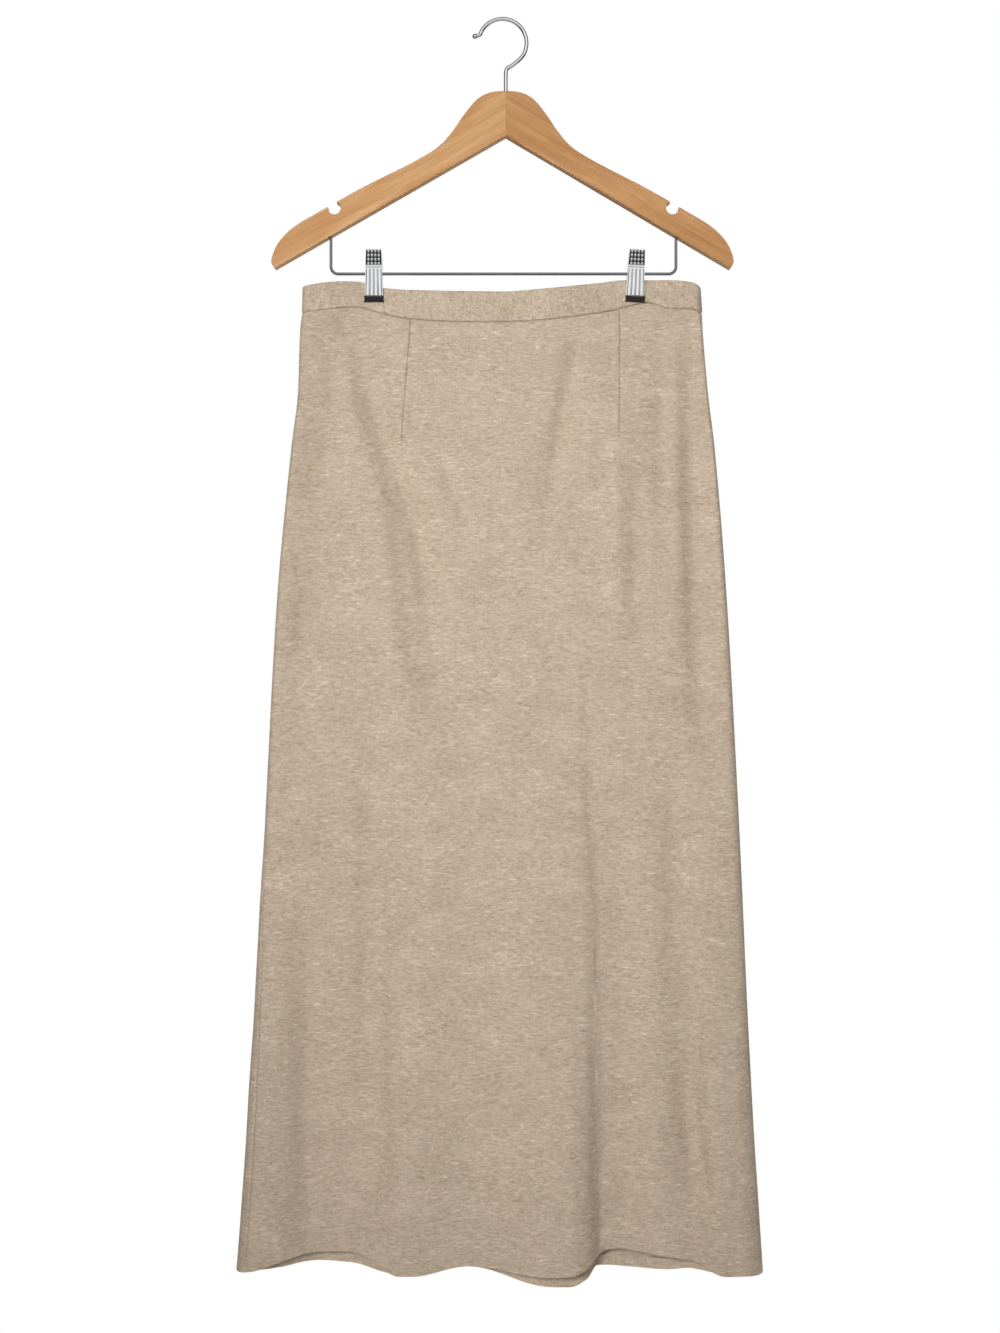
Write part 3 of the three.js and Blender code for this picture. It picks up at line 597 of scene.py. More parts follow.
def shell_mesh(name, outer, inner, weave):
    """Closed wall between two faces of points, with the run of the weave as its UV map."""
    rows, columns = outer.shape[:2]
    index = np.arange(rows * columns).reshape(rows, columns)
    under = index + rows * columns

    def strip(a, b):
        return np.stack((a[:-1], b[:-1], b[1:], a[1:]), axis=-1).reshape(-1, 4)

    def face(grid):
        corners = (grid[:-1, :-1], grid[1:, :-1], grid[1:, 1:], grid[:-1, 1:])
        return np.stack(corners, axis=-1).reshape(-1, 4)

    faces = np.concatenate((
        face(index),
        face(under)[:, ::-1],
        strip(under[:, 0], index[:, 0])[:, ::-1],
        strip(under[:, -1], index[:, -1]),
        strip(under[0], index[0]),
        strip(under[-1], index[-1])[:, ::-1],
    ))
    points = np.concatenate((outer.reshape(-1, 3), inner.reshape(-1, 3)))
    mesh = bpy.data.meshes.new(name)
    mesh.from_pydata(points.tolist(), [], faces.tolist())
    layer = mesh.uv_layers.new(name="weave")
    at = np.concatenate((weave.reshape(-1, 2),) * 2)
    corners = np.empty(len(mesh.loops), np.int32)
    mesh.loops.foreach_get("vertex_index", corners)
    layer.data.foreach_set("uv", at[corners].astype(np.float32).ravel())
    mesh.shade_smooth()
    mesh.set_sharp_from_angle(angle=math.radians(CLOTH_SHARP))
    return mesh


def panel(side, name):
    """Front or back panel with its creases, darts, seams and turned hem; also its hem lines."""
    drops = np.concatenate((
        TOP_ROWS,
        np.linspace(TOP_ROWS[-1], SIDE_LENGTH - HEM_ROWS[0], PANEL_ROWS)[1:-1],
        SIDE_LENGTH - HEM_ROWS,
    ))
    shares = drops / SIDE_LENGTH
    grid, cuts = cloth_grid(shares, side, with_darts=True)
    hem = cuts[-1]
    hem_front = np.mod(grid.run[-1], hem.length) <= hem.run[hem.front - 1]
    hem_z = np.where(
        hem_front,
        follow(HEM_WAVES, "x", "front", grid.x[-1]),
        follow(HEM_WAVES, "x", "back", grid.x[-1]),
    )
    seam_z = follow(WAIST, "x", "seam", grid.x[0]) - SEAM_GAP / 2
    z = lerp(seam_z[None], hem_z[None], shares[:, None])
    drop = np.broadcast_to(drops[:, None], z.shape)
    above = SIDE_LENGTH - drop
    edge = np.minimum(grid.run - grid.start, grid.end - grid.run)
    away = creases(CREASES, side, grid.x, z) + ripples(side, grid.x, z)
    away *= smooth(edge, 0, PANEL_SIDE_CALM) * smooth(drop, 0, PANEL_WAIST_CALM)
    for dart in grid.darts.T[:, :, None]:
        off = np.abs(grid.run - dart)
        fade = 1 - smooth(drop, DART_LENGTH - DART_FADE, DART_LENGTH)
        groove = DART_GROOVE * bell(off, DART_GROOVE_WIDTH)
        away += fade * (DART_PUFF * bell(off - DART_PUFF_AT, DART_PUFF_WIDTH) - groove)
    away -= SEAM_ROLL * roll(edge, SEAM_ROLL_WIDTH) + WAIST_ROLL * roll(drop, WAIST_ROLL_WIDTH)
    away -= STITCH_DENT * bell(above - HEM_TURN + STITCH_INSET, STITCH_DENT_WIDTH)
    wall = lerp(CLOTH_WALL, HEM_WALL, smooth(HEM_TURN - above, -HEM_STEP / 2, HEM_STEP / 2))
    fold = HEM_FOLD * roll(above, HEM_FOLD_WIDTH)
    outer = placed(grid, z, away - fold)
    inner = placed(grid, z, away - wall + fold)
    weave = np.stack((grid.run - (grid.start + grid.end) / 2, z), axis=-1) * MM
    sewn = int(np.argmin(np.abs(HEM_ROWS - HEM_TURN + STITCH_INSET))) - len(HEM_ROWS)
    return shell_mesh(name, outer, inner, weave), outer[sewn], inner[sewn]


def waistband(side, name):
    """Front or back waistband, its grain turned a quarter, folded along its top."""
    foot = BAND_FOOT_ROWS
    top = BAND_HEIGHT - BAND_TOP_ROWS
    rises = np.concatenate((foot, np.linspace(foot[-1], top[0], BAND_ROWS)[1:-1], top))[::-1]
    grid, _ = cloth_grid(-rises / SIDE_LENGTH, side, with_darts=False)
    up = (rises / BAND_HEIGHT)[:, None]
    seam_z = follow(WAIST, "x", "seam", grid.x) + SEAM_GAP / 2
    z = lerp(seam_z, follow(WAIST, "x", "top", grid.x), up)
    rise = np.broadcast_to(rises[:, None], z.shape)
    edge = np.minimum(grid.run - grid.start, grid.end - grid.run)
    free = smooth(from_clip(grid.x), PINCH_FLAT, PINCH_FLAT + CLIP_CALM)
    away = creases(BAND_CREASES, side, grid.x, z) + ripples(side, grid.x, z)
    away *= smooth(edge, 0, BAND_SIDE_CALM) * smooth(rise, 0, BAND_WAIST_CALM) * free
    away += BAND_PROUD - SEAM_ROLL * roll(edge, SEAM_ROLL_WIDTH) - WAIST_ROLL * roll(rise, WAIST_ROLL_WIDTH)
    fold = BAND_FOLD * roll(BAND_HEIGHT - rise, BAND_FOLD_WIDTH)
    outer = placed(grid, z, away - fold)
    inner = placed(grid, z, away - BAND_WALL + fold)
    weave = np.stack((rise, grid.run - (grid.start + grid.end) / 2), axis=-1) * MM
    return shell_mesh(name, outer, inner, weave)


# Node trees

class Tree:
    """Adds nodes to a tree and sets or links their sockets by name or number."""

    def __init__(self, tree):
        self.tree = tree

    def link(self, start, end):
        self.tree.links.new(start, end)

    def add(self, kind, sockets=None, **settings):
        node = self.tree.nodes.new(kind)
        for key, value in settings.items():
            setattr(node, key, value)
        for key, value in (sockets or {}).items():
            if isinstance(value, bpy.types.NodeSocket):
                self.link(value, node.inputs[key])
            else:
                node.inputs[key].default_value = value
        return node

    def sum(self, kind, *values):
        node = self.add("ShaderNodeMath", dict(enumerate(values)), operation=kind)
        return node.outputs[0]

    def shares(self, *parts):
        """Sum of values, each times its share."""
        total, *rest = [self.sum("MULTIPLY", value, share) for value, share in parts]
        for part in rest:
            total = self.sum("ADD", total, part)
        return total


def group_tree(name, kind, inputs, outputs):
    """New node group with named sockets: its tree, what it is given and what it makes."""
    group = bpy.data.node_groups.new(name, kind)
    for way, sockets in (("INPUT", inputs), ("OUTPUT", outputs)):
        for label, value in sockets.items():
            group.interface.new_socket(label, in_out=way, socket_type=f"NodeSocket{value}")
    tree = Tree(group)
    return tree, tree.add("NodeGroupInput").outputs, tree.add("NodeGroupOutput").inputs


def linked(name, data):
    """New object in the scene."""
    obj = bpy.data.objects.new(name, data)
    bpy.context.collection.objects.link(obj)
    return obj


def grown(name, group, values, start=None):
    """Plain mesh that a Geometry Nodes tree makes from its named sizes."""
    obj = linked(name, start or bpy.data.meshes.new(name))
    modifier = obj.modifiers.new("grow", "NODES")
    modifier.node_group = group
    for item in group.interface.items_tree:
        if item.in_out == "INPUT" and item.name in values:
            modifier[item.identifier] = values[item.name]
    graph = bpy.context.evaluated_depsgraph_get()
    mesh = bpy.data.meshes.new_from_object(obj.evaluated_get(graph), depsgraph=graph)
    bpy.data.objects.remove(obj)
    return mesh


def tube(tree, path, sides, radius):
    """Capped tube along a curve."""
    cut = tree.add("GeometryNodeCurvePrimitiveCircle", {"Resolution": sides, "Radius": radius})
    wire = tree.add("GeometryNodeCurveToMesh", {
        "Curve": path.outputs[0],
        "Profile Curve": cut.outputs[0],
        "Fill Caps": True,
    })
    return wire.outputs[0]


def bead(tree, segments, rings, radius):
    ball = tree.add("GeometryNodeMeshUVSphere", {"Segments": segments, "Rings": rings, "Radius": radius})
    return ball.outputs["Mesh"]


def set_out(tree, points, thing, size, **turn):
    """Copies of a thing on points."""
    sockets = {"Points": points, "Instance": thing, **turn, "Scale": size}
    return tree.add("GeometryNodeInstanceOnPoints", sockets).outputs[0]


def made_plain(tree, geometry, material, made):
    """Ends a tree with its copies made plain faces in a material."""
    real = tree.add("GeometryNodeRealizeInstances", {0: geometry})
    finish = tree.add("GeometryNodeSetMaterial", {"Geometry": real.outputs[0], "Material": material})
    tree.link(finish.outputs[0], made[0])
    return tree.tree


def stitch_tree():
    """Row of stitches along an edge line."""
    tree, given, made = group_tree(
        "stitch_row",
        "GeometryNodeTree",
        {"Line": "Geometry", "Pitch": "Float", "Stitch": "Vector", "Thread": "Material"},
        {"Stitches": "Geometry"},
    )
    curve = tree.add("GeometryNodeMeshToCurve", {"Mesh": given["Line"]})
    points = tree.add(
        "GeometryNodeCurveToPoints",
        {"Curve": curve.outputs[0], "Length": given["Pitch"]},
        mode="LENGTH",
    )
    turned = tree.add("FunctionNodeAlignRotationToVector", {"Vector": points.outputs["Tangent"]}, axis="X")
    stitch = bead(tree, 6, 4, 0.5)
    row = set_out(tree, points.outputs["Points"], stitch, given["Stitch"], Rotation=turned.outputs[0])
    return made_plain(tree, row, given["Thread"], made)


def grip_tree():
    """Raised dots of a clip's handle over the ribs of its jaw, flat in X and Z and proud in Y."""
    tree, given, made = group_tree(
        "clip_grip",
        "GeometryNodeTree",
        {
            "Rib Count": "Int",
            "Rib Pitch": "Float",
            "Rib Top": "Float",
            "Rib Bottom": "Float",
            "Rib Size": "Vector",
            "Dot Rows": "Int",
            "Dot Span": "Float",
            "Dot Height": "Float",
            "Dot Middle": "Vector",
            "Dot Size": "Vector",
            "Metal": "Material",
        },
        {"Grip": "Geometry"},
    )
    top = tree.add("ShaderNodeCombineXYZ", {"Z": given["Rib Top"]})
    bottom = tree.add("ShaderNodeCombineXYZ", {"Z": given["Rib Bottom"]})
    stem = tree.add("GeometryNodeCurvePrimitiveLine", {"Start": bottom.outputs[0], "End": top.outputs[0]})
    rib = tube(tree, stem, 20, 1.0)
    gaps = tree.sum("SUBTRACT", given["Rib Count"], 1.0)
    reach = tree.sum("MULTIPLY", gaps, given["Rib Pitch"])
    first = tree.add("ShaderNodeCombineXYZ", {"X": tree.sum("MULTIPLY", reach, -0.5)})
    step = tree.add("ShaderNodeCombineXYZ", {"X": given["Rib Pitch"]})
    feet = tree.add("GeometryNodeMeshLine", {
        "Count": given["Rib Count"],
        "Start Location": first.outputs[0],
        "Offset": step.outputs[0],
    })
    ribs = set_out(tree, feet.outputs[0], rib, given["Rib Size"])
    seats = tree.add("GeometryNodeMeshGrid", {
        "Size X": given["Dot Span"],
        "Size Y": given["Dot Height"],
        "Vertices X": given["Dot Rows"],
        "Vertices Y": given["Dot Rows"],
    })
    upright = tree.add("GeometryNodeTransform", {
        "Geometry": seats.outputs["Mesh"],
        "Translation": given["Dot Middle"],
        "Rotation": (math.pi / 2, 0, 0),
    })
    dots = set_out(tree, upright.outputs[0], bead(tree, 12, 8, 1.0), given["Dot Size"])
    both = tree.add("GeometryNodeJoinGeometry")
    tree.link(ribs, both.inputs[0])
    tree.link(dots, both.inputs[0])
    return made_plain(tree, both.outputs[0], given["Metal"], made)


def coil_tree():
    """Coil of round wire about Z."""
    tree, given, made = group_tree(
        "spring_coil",
        "GeometryNodeTree",
        {
            "Turns": "Float",
            "Radius": "Float",
            "Height": "Float",
            "Wire Radius": "Float",
            "Metal": "Material",
        },
        {"Coil": "Geometry"},
    )
    path = tree.add("GeometryNodeCurveSpiral", {
        "Resolution": 24,
        "Rotations": given["Turns"],
        "Start Radius": given["Radius"],
        "End Radius": given["Radius"],
        "Height": given["Height"],
    })
    return made_plain(tree, tube(tree, path, 10, given["Wire Radius"]), given["Metal"], made)


# Materials

SHADER = "Principled BSDF"


def linear(red, green, blue):
    """Linear colour of screen values from 0 to 255."""
    def one(value):
        value /= 255
        return value / 12.92 if value <= 0.04045 else ((value + 0.055) / 1.055) ** 2.4
    return (one(red), one(green), one(blue), 1.0)


def soft_noise(tree, vector, size, detail=1.0, bend=0.0):
    """Noise in the cloth's plane with its middle at nought, its spots drawn out along U and V."""
    scaled = tree.add("ShaderNodeMapping", {"Vector": vector, "Scale": (1 / size[0], 1 / size[1], 1)})
    noise = tree.add(
        "ShaderNodeTexNoise",
        {"Vector": scaled.outputs[0], "Scale": 1.0, "Detail": detail, "Distortion": bend},
        noise_dimensions="2D",
    )
    return tree.sum("SUBTRACT", noise.outputs[0], 0.5)


def thread_rows(tree, along, across, size):
    """Tone of threads of a length and width, side by side, each changing along its own length."""
    length, width = size
    row = tree.sum("FLOOR", tree.sum("DIVIDE", across, width))
    spot = tree.add("ShaderNodeCombineXYZ", {
        "X": tree.sum("DIVIDE", along, length),
        "Y": tree.sum("MULTIPLY", row, ROW_STEP),
    })
    return soft_noise(tree, spot.outputs[0], (1, 1))


def blended(tree, tone, middle, low, high):
    """Colour between two by a tone, clamped, with nought at a middle share."""
    share = tree.add("ShaderNodeMath", {0: tone, 1: middle}, operation="ADD", use_clamp=True)
    return tree.add("ShaderNodeMix", {0: share.outputs[0], 6: low, 7: high}, data_type="RGBA").outputs[2]


def weave_group():
    """Heathered plain weave: colour, and height in metres, of threads, slubs and crumples."""
    tree, given, made = group_tree(
        "linen_weave",
        "ShaderNodeTree",
        {
            "Vector": "Vector",
            "Dark Thread": "Color",
            "Light Thread": "Color",
            "Contrast": "Float",
            "Warp Share": "Float",
            "Slub": "Float",
        },
        {"Color": "Color", "Height": "Float"},
    )
    vector = given["Vector"]
    drift = tree.sum("MULTIPLY", soft_noise(tree, vector, DRIFT_SPOT), DRIFT)
    parts = tree.add("ShaderNodeSeparateXYZ", {0: vector})
    along, across = parts.outputs["X"], tree.sum("ADD", parts.outputs["Y"], drift)
    weft = thread_rows(tree, along, across, WEFT)
    warp = thread_rows(tree, across, along, WARP)
    slub = thread_rows(tree, along, across, SLUB)
    bold = tree.sum("MULTIPLY", slub, tree.sum("ABSOLUTE", slub))
    bold = tree.sum("MAXIMUM", bold, tree.sum("MULTIPLY", bold, DARK_SLUB))
    mottle = soft_noise(tree, vector, MOTTLE_SPOT, detail=2.0)
    crumple = soft_noise(tree, vector, CRUMPLE_SPOT, bend=0.4)
    ridge = tree.sum("ABSOLUTE", soft_noise(tree, vector, VEIN_SPOT, detail=1.5, bend=0.8))
    ridge = tree.sum("MAXIMUM", tree.sum("MULTIPLY_ADD", ridge, -VEIN_FALL, 1.0), 0.0)
    patch = tree.sum("MULTIPLY", soft_noise(tree, vector, PATCH_SPOT), PATCH_GAIN)
    vein = tree.sum("MULTIPLY", ridge, tree.sum("MINIMUM", tree.sum("MAXIMUM", patch, 0.0), 1.0))
    crossing = tree.sum("MULTIPLY", tree.sum("SUBTRACT", warp, weft), given["Warp Share"])
    threads = tree.sum("ADD", weft, crossing)
    marks = tree.shares((bold, given["Slub"]), (mottle, MOTTLE_SHARE), (vein, VEIN_SHARE))
    tone = tree.sum("MULTIPLY", tree.sum("ADD", threads, marks), given["Contrast"])
    colour = blended(tree, tone, MIDDLE_TONE, given["Dark Thread"], given["Light Thread"])
    raised = tree.sum("ADD", threads, bold)
    height = tree.shares((raised, THREAD_HEIGHT * MM), (crumple, CRUMPLE_HEIGHT * MM))
    tree.link(colour, made["Color"])
    tree.link(height, made["Height"])
    return tree.tree


def grain_group():
    """Close straight wood grain along X: colour, height and roughness."""
    tree, given, made = group_tree(
        "wood_grain",
        "ShaderNodeTree",
        {"Vector": "Vector", "Early Wood": "Color", "Late Wood": "Color"},
        {"Color": "Color", "Height": "Float", "Roughness": "Float"},
    )

    def figure(scale, detail, bend):
        scaled = tree.add("ShaderNodeMapping", {"Vector": given["Vector"], "Scale": scale})
        return tree.add("ShaderNodeTexNoise", {
            "Vector": scaled.outputs[0],
            "Scale": 1.0,
            "Detail": detail,
            "Roughness": 0.6,
            "Distortion": bend,
        }).outputs[0]

    rings = figure(RINGS, detail=3.0, bend=0.6)
    pores = figure(PORES, detail=2.0, bend=0.0)
    clouds = figure(CLOUDS, detail=2.0, bend=0.3)
    tone = tree.shares((rings, RING_SHARE), (pores, PORE_SHARE), (clouds, CLOUD_SHARE))
    rough = tree.add("ShaderNodeMapRange", {0: pores, 3: GRAIN_ROUGH[0], 4: GRAIN_ROUGH[1]})
    tree.link(blended(tree, tone, GRAIN_TONE, given["Early Wood"], given["Late Wood"]), made["Color"])
    tree.link(pores, made["Height"])
    tree.link(rough.outputs[0], made["Roughness"])
    return tree.tree


def new_material(name, sockets):
    """Material with a Principled shader that has these values, and its tree to build on."""
    material = bpy.data.materials.new(name)
    material.use_nodes = True
    for key, value in sockets.items():
        material.node_tree.nodes[SHADER].inputs[key].default_value = value
    return material, Tree(material.node_tree)


def dressed(tree, bump, colour, height, rough=None):
    """Links a colour, a bumped height and a roughness to the tree's Principled shader."""
    strength, distance = bump
    raised = tree.add("ShaderNodeBump", {"Strength": strength, "Distance": distance, "Height": height})
    ends = {"Base Color": colour, "Roughness": rough, "Normal": raised.outputs[0]}
    for key, socket in ends.items():
        if socket is not None:
            tree.link(socket, tree.tree.nodes[SHADER].inputs[key])


def cloth_material(name, weave, shift, contrast, warp_share, slub):
    material, tree = new_material(name, {
        "Roughness": 0.88,
        "Specular IOR Level": 0.25,
        "Sheen Weight": 0.18,
        "Sheen Roughness": 0.5,
        "Sheen Tint": linear(225, 210, 192),
    })
    uv = tree.add("ShaderNodeUVMap", uv_map="weave")
    place = tree.add("ShaderNodeMapping", {"Vector": uv.outputs[0], "Location": shift})
    cloth = tree.add("ShaderNodeGroup", {
        "Vector": place.outputs[0],
        "Dark Thread": linear(146, 126, 103),
        "Light Thread": linear(233, 215, 193),
        "Contrast": contrast,
        "Warp Share": warp_share,
        "Slub": slub,
    }, node_tree=weave)
    dressed(tree, CLOTH_BUMP, cloth.outputs["Color"], cloth.outputs["Height"])
    return material


def wood_material(name, grain, turn, early, late):
    material, tree = new_material(name, {
        "Specular IOR Level": 0.3,
        "Coat Weight": 0.12,
        "Coat Roughness": 0.25,
    })
    at = tree.add("ShaderNodeTexCoord")
    turned = tree.add("ShaderNodeMapping", {"Vector": at.outputs["Object"], "Rotation": (0, turn, 0)})
    wood = tree.add("ShaderNodeGroup", {
        "Vector": turned.outputs[0],
        "Early Wood": early,
        "Late Wood": late,
    }, node_tree=grain)
    dressed(tree, WOOD_BUMP, *(wood.outputs[label] for label in ("Color", "Height", "Roughness")))
    return material


def mottled_material(name, dark, light, rough, scale, sockets):
    """Plain finish whose colour and roughness vary a little, as plating and moulding do."""
    material, tree = new_material(name, sockets)
    at = tree.add("ShaderNodeTexCoord")
    noise = tree.add("ShaderNodeTexNoise", {"Vector": at.outputs["Object"], "Scale": scale, "Detail": 3.0})
    spots = noise.outputs[0]
    colour = tree.add("ShaderNodeMix", {0: spots, 6: dark, 7: light}, data_type="RGBA")
    spread = tree.add("ShaderNodeMapRange", {0: spots, 3: rough[0], 4: rough[1]})
    dressed(tree, PLAIN_BUMP, colour.outputs[2], spots, spread.outputs[0])
    return material


# Hanger

def smooth_path(points, steps):
    """Even curve through points, as a spline in the plane draws it."""
    points = np.asarray(points, float)
    last = len(points) - 1
    path = []
    for i in range(last):
        a, b = points[i], points[i + 1]
        before, after = points[max(0, i - 1)], points[min(last, i + 2)]
        for t in np.arange(steps) / steps:
            lean_a, lean_b = (b - before) / 2, (after - a) / 2
            path.append(
                (2 * a - 2 * b + lean_a + lean_b) * t**3
                + (3 * b - 3 * a - 2 * lean_a - lean_b) * t**2
                + lean_a * t
                + a
            )
    path.append(points[last])
    return np.array(path)


def wire_mesh(name, path, diameter, ball=None):
    """Round wire along a path in X and Z, with a ball on its last point if one is given."""
    path = np.asarray(path, float)
    lean = np.gradient(path, axis=0)
    lean /= np.linalg.norm(lean, axis=1)[:, None]
    bm = bmesh.new()
    rings = []
    for (x, z), (lean_x, lean_z) in zip(path, lean):
        ring = []
        for k in range(WIRE_SIDES):
            angle = TURN * k / WIRE_SIDES
            off = diameter / 2 * math.cos(angle)
            at = (x + lean_z * off, diameter / 2 * math.sin(angle), z - lean_x * off)
            ring.append(bm.verts.new([value * MM for value in at]))
        rings.append(ring)
    for a, b in zip(rings[:-1], rings[1:]):
        for k in range(WIRE_SIDES):
            n = (k + 1) % WIRE_SIDES
            bm.faces.new((a[k], a[n], b[n], b[k]))
    bm.faces.new(rings[0][::-1])
    bm.faces.new(rings[-1])
    if ball:
        made = bmesh.ops.create_uvsphere(bm, u_segments=24, v_segments=16, radius=ball / 2 * MM)
        bmesh.ops.translate(bm, verts=made["verts"], vec=(path[-1][0] * MM, 0, path[-1][1] * MM))
    return finished(bm, name, WIRE_SHARP)


def bevelled(bm, edges, offset, segments, clamp=False):
    bmesh.ops.bevel(
        bm,
        geom=edges,
        offset=offset,
        segments=segments,
        profile=0.5,
        affect="EDGES",
        clamp_overlap=clamp,
    )


def finished(bm, name, sharp):
    """Mesh of a bmesh with its faces outwards, smooth up to an angle in degrees."""
    bmesh.ops.recalc_face_normals(bm, faces=bm.faces)
    mesh = bpy.data.meshes.new(name)
    bm.to_mesh(mesh)
    bm.free()
    mesh.shade_smooth()
    mesh.set_sharp_from_angle(angle=math.radians(sharp))
    return mesh


def hook_path():
    centre = HOOK_WIRE / 2 - HOOK_RADIUS
    angles = np.linspace(HOOK_FROM, HOOK_TO, HOOK_STEPS + 1)
    ring = np.stack((HOOK_RADIUS * np.cos(angles), centre + HOOK_RADIUS * np.sin(angles)), axis=-1)
    foot = [
        (NECK_X, SHANK_BOTTOM),
        (NECK_X, (SHANK_BOTTOM + SHANK_TOP) / 2),
        (NECK_X, SHANK_TOP),
        (NECK_X + SHANK_BEND[0], SHANK_TOP + SHANK_BEND[1]),
        *HOOK_NECK,
    ]
    return smooth_path([*foot, *ring, HOOK_TIP], HOOK_SMOOTHING)


def bar_path():
    def corner(x, start, end):
        angles = np.linspace(start, end, BAR_CORNER_STEPS + 1)
        rise = BAR_Z + BAR_CORNER
        return [(x + BAR_CORNER * math.cos(a), rise + BAR_CORNER * math.sin(a)) for a in angles]
    left = corner(BAR_LEFT + BAR_CORNER, math.pi, 1.5 * math.pi)
    right = corner(BAR_RIGHT - BAR_CORNER, -math.pi / 2, 0)
    return [(BAR_LEFT, BAR_TOP), *left, (0, BAR_Z), *right, (BAR_RIGHT, BAR_TOP)]


def arm_outline(sign):
    """Outline of one arm in X and Z, from the neck along the top to the tip, then underneath."""
    def place(out):
        return NECK_X + sign * out * ARM_REACHES[sign] / ARM_REACH
    outs = np.concatenate((-ARM_EDGE["out"][1::-1], (0,), ARM_EDGE["out"]))
    heights = np.concatenate((ARM_EDGE["z"][1::-1], (ARM_TOP,), ARM_EDGE["z"]))
    through = np.stack((place(outs), heights), axis=-1)
    tip = np.array((place(ARM_TIP[0]), ARM_TIP[1]))
    edge = smooth_path([*through, tip], ARM_STEPS)
    joint = NECK_X + sign * ARM_JOINT_GAP / 2
    edge = edge[sign * (edge[:, 0] - joint) > ARM_JOINT_GAP]
    centre = np.array((place(NOTCH_OUT), NOTCH_Z))
    inside = np.flatnonzero(np.linalg.norm(edge - centre, axis=1) < NOTCH_RADIUS)
    lips = [edge[inside[0] - 1] - centre, edge[inside[-1] + 1] - centre]
    start, end = (math.atan2(lip[1], lip[0]) for lip in lips)
    turns = np.linspace(start % TURN, end % TURN + sign * TURN, NOTCH_STEPS)
    arc = centre + NOTCH_RADIUS * np.stack((np.cos(turns), np.sin(turns)), axis=-1)
    edge = np.concatenate((edge[:inside[0]], arc, edge[inside[-1] + 1:]))
    return np.concatenate((((joint, ARM_TOP),), edge, ((joint, ARM_CROTCH),)))


def arm_mesh(sign, name):
    """Wooden arm with rounded edges, square only at the centre joint."""
    bm = bmesh.new()
    outline = arm_outline(sign)
    half = ARM_THICKNESS / 2 * MM
    near = [bm.verts.new((x * MM, -half, z * MM)) for x, z in outline]
    face = bm.faces.new(near)
    far = bmesh.ops.extrude_face_region(bm, geom=[face])
    moved = [item for item in far["geom"] if isinstance(item, bmesh.types.BMVert)]
    bmesh.ops.translate(bm, verts=moved, vec=(0, 2 * half, 0))
    joint = (NECK_X + sign * ARM_JOINT_GAP / 2) * MM
    bmesh.ops.recalc_face_normals(bm, faces=bm.faces)

    def at_joint(edge):
        return all(abs(vert.co.x - joint) < TOUCH for vert in edge.verts)

    def along(edge):
        return abs(edge.verts[0].co.y - edge.verts[1].co.y) < TOUCH

    rims = [edge for edge in bm.edges if along(edge) and not at_joint(edge)]
    bevelled(bm, rims, ARM_ROUND * MM, ARM_ROUND_STEPS, clamp=True)
    glued = [edge for edge in bm.edges if at_joint(edge) and along(edge)]
    bevelled(bm, glued, JOINT_GROOVE * MM, 1)
    bmesh.ops.remove_doubles(bm, verts=bm.verts, dist=TOUCH)
    return finished(bm, name, ARM_SHARP)


# Clips

def jaw_out(z):
    return curve_through(JAW_LINE["z"], JAW_LINE["out"], z)


def flared(x, z):
    return x * (1 + JAW_FLARE * z)


def clip_place(x, tilt):
    """Moves points about the bar's axis, in millimetres, to a clip's place in metres."""
    cos, sin = math.cos(tilt), math.sin(tilt)

    def move(points):
        points = np.asarray(points, float)
        across = points[:, 0] * cos + points[:, 2] * sin + x
        height = points[:, 2] * cos - points[:, 0] * sin + BAR_Z
        return np.stack((across, points[:, 1], height), axis=-1) * MM
    return move


def plate_mesh(side):
    """Bent sheet of a jaw, in millimetres about the bar."""
    bm = bmesh.new()
    columns = np.linspace(-JAW_WIDTH / 2, JAW_WIDTH / 2, JAW_COLUMNS + 1)
    half = JAW_SHEET / 2

    def face(away):
        return [
            [bm.verts.new((flared(x, z), side * (jaw_out(z) + away), z)) for x in columns]
            for z in JAW_ROWS
        ]

    outer, inner = face(half), face(-half)
    for grid in (outer, inner):
        for a, b in zip(grid[:-1], grid[1:]):
            for k in range(JAW_COLUMNS):
                bm.faces.new((a[k], b[k], b[k + 1], a[k + 1]))
    for k in range(JAW_COLUMNS):
        for row in (0, -1):
            bm.faces.new((outer[row][k], outer[row][k + 1], inner[row][k + 1], inner[row][k]))
    for row in range(len(JAW_ROWS) - 1):
        for k in (0, -1):
            bm.faces.new((outer[row][k], outer[row + 1][k], inner[row + 1][k], inner[row][k]))
    bmesh.ops.recalc_face_normals(bm, faces=bm.faces)
    rims = [edge for edge in bm.edges if edge.calc_face_angle(0) > JAW_RIM]
    bevelled(bm, rims, JAW_EDGE, 2)
    return bm


def cheek_outline(side):
    root = side * jaw_out(CHEEK_ROOT)
    past = -side * CHEEK_PAST
    high = CHEEK_HALF_HEIGHT
    return np.array((
        (root, high),
        (past / 2, high - CHEEK_TAPER),
        (past, 0),
        (past / 2, CHEEK_TAPER - high),
        (root, -high),
    ))


def ray_to(outline, angle):
    """Distance from the bar's axis to an outline round it, along an angle."""
    ray = np.array((math.cos(angle), math.sin(angle)))
    best = 0
    for a, b in zip(outline, np.roll(outline, -1, axis=0)):
        edge = b - a
        cross = ray[0] * edge[1] - ray[1] * edge[0]
        if abs(cross) < TINY:
            continue
        far = (a[0] * edge[1] - a[1] * edge[0]) / cross
        t = (a[0] * ray[1] - a[1] * ray[0]) / cross
        if far > 0 and -TINY <= t <= 1 + TINY:
            best = max(best, far)
    return best


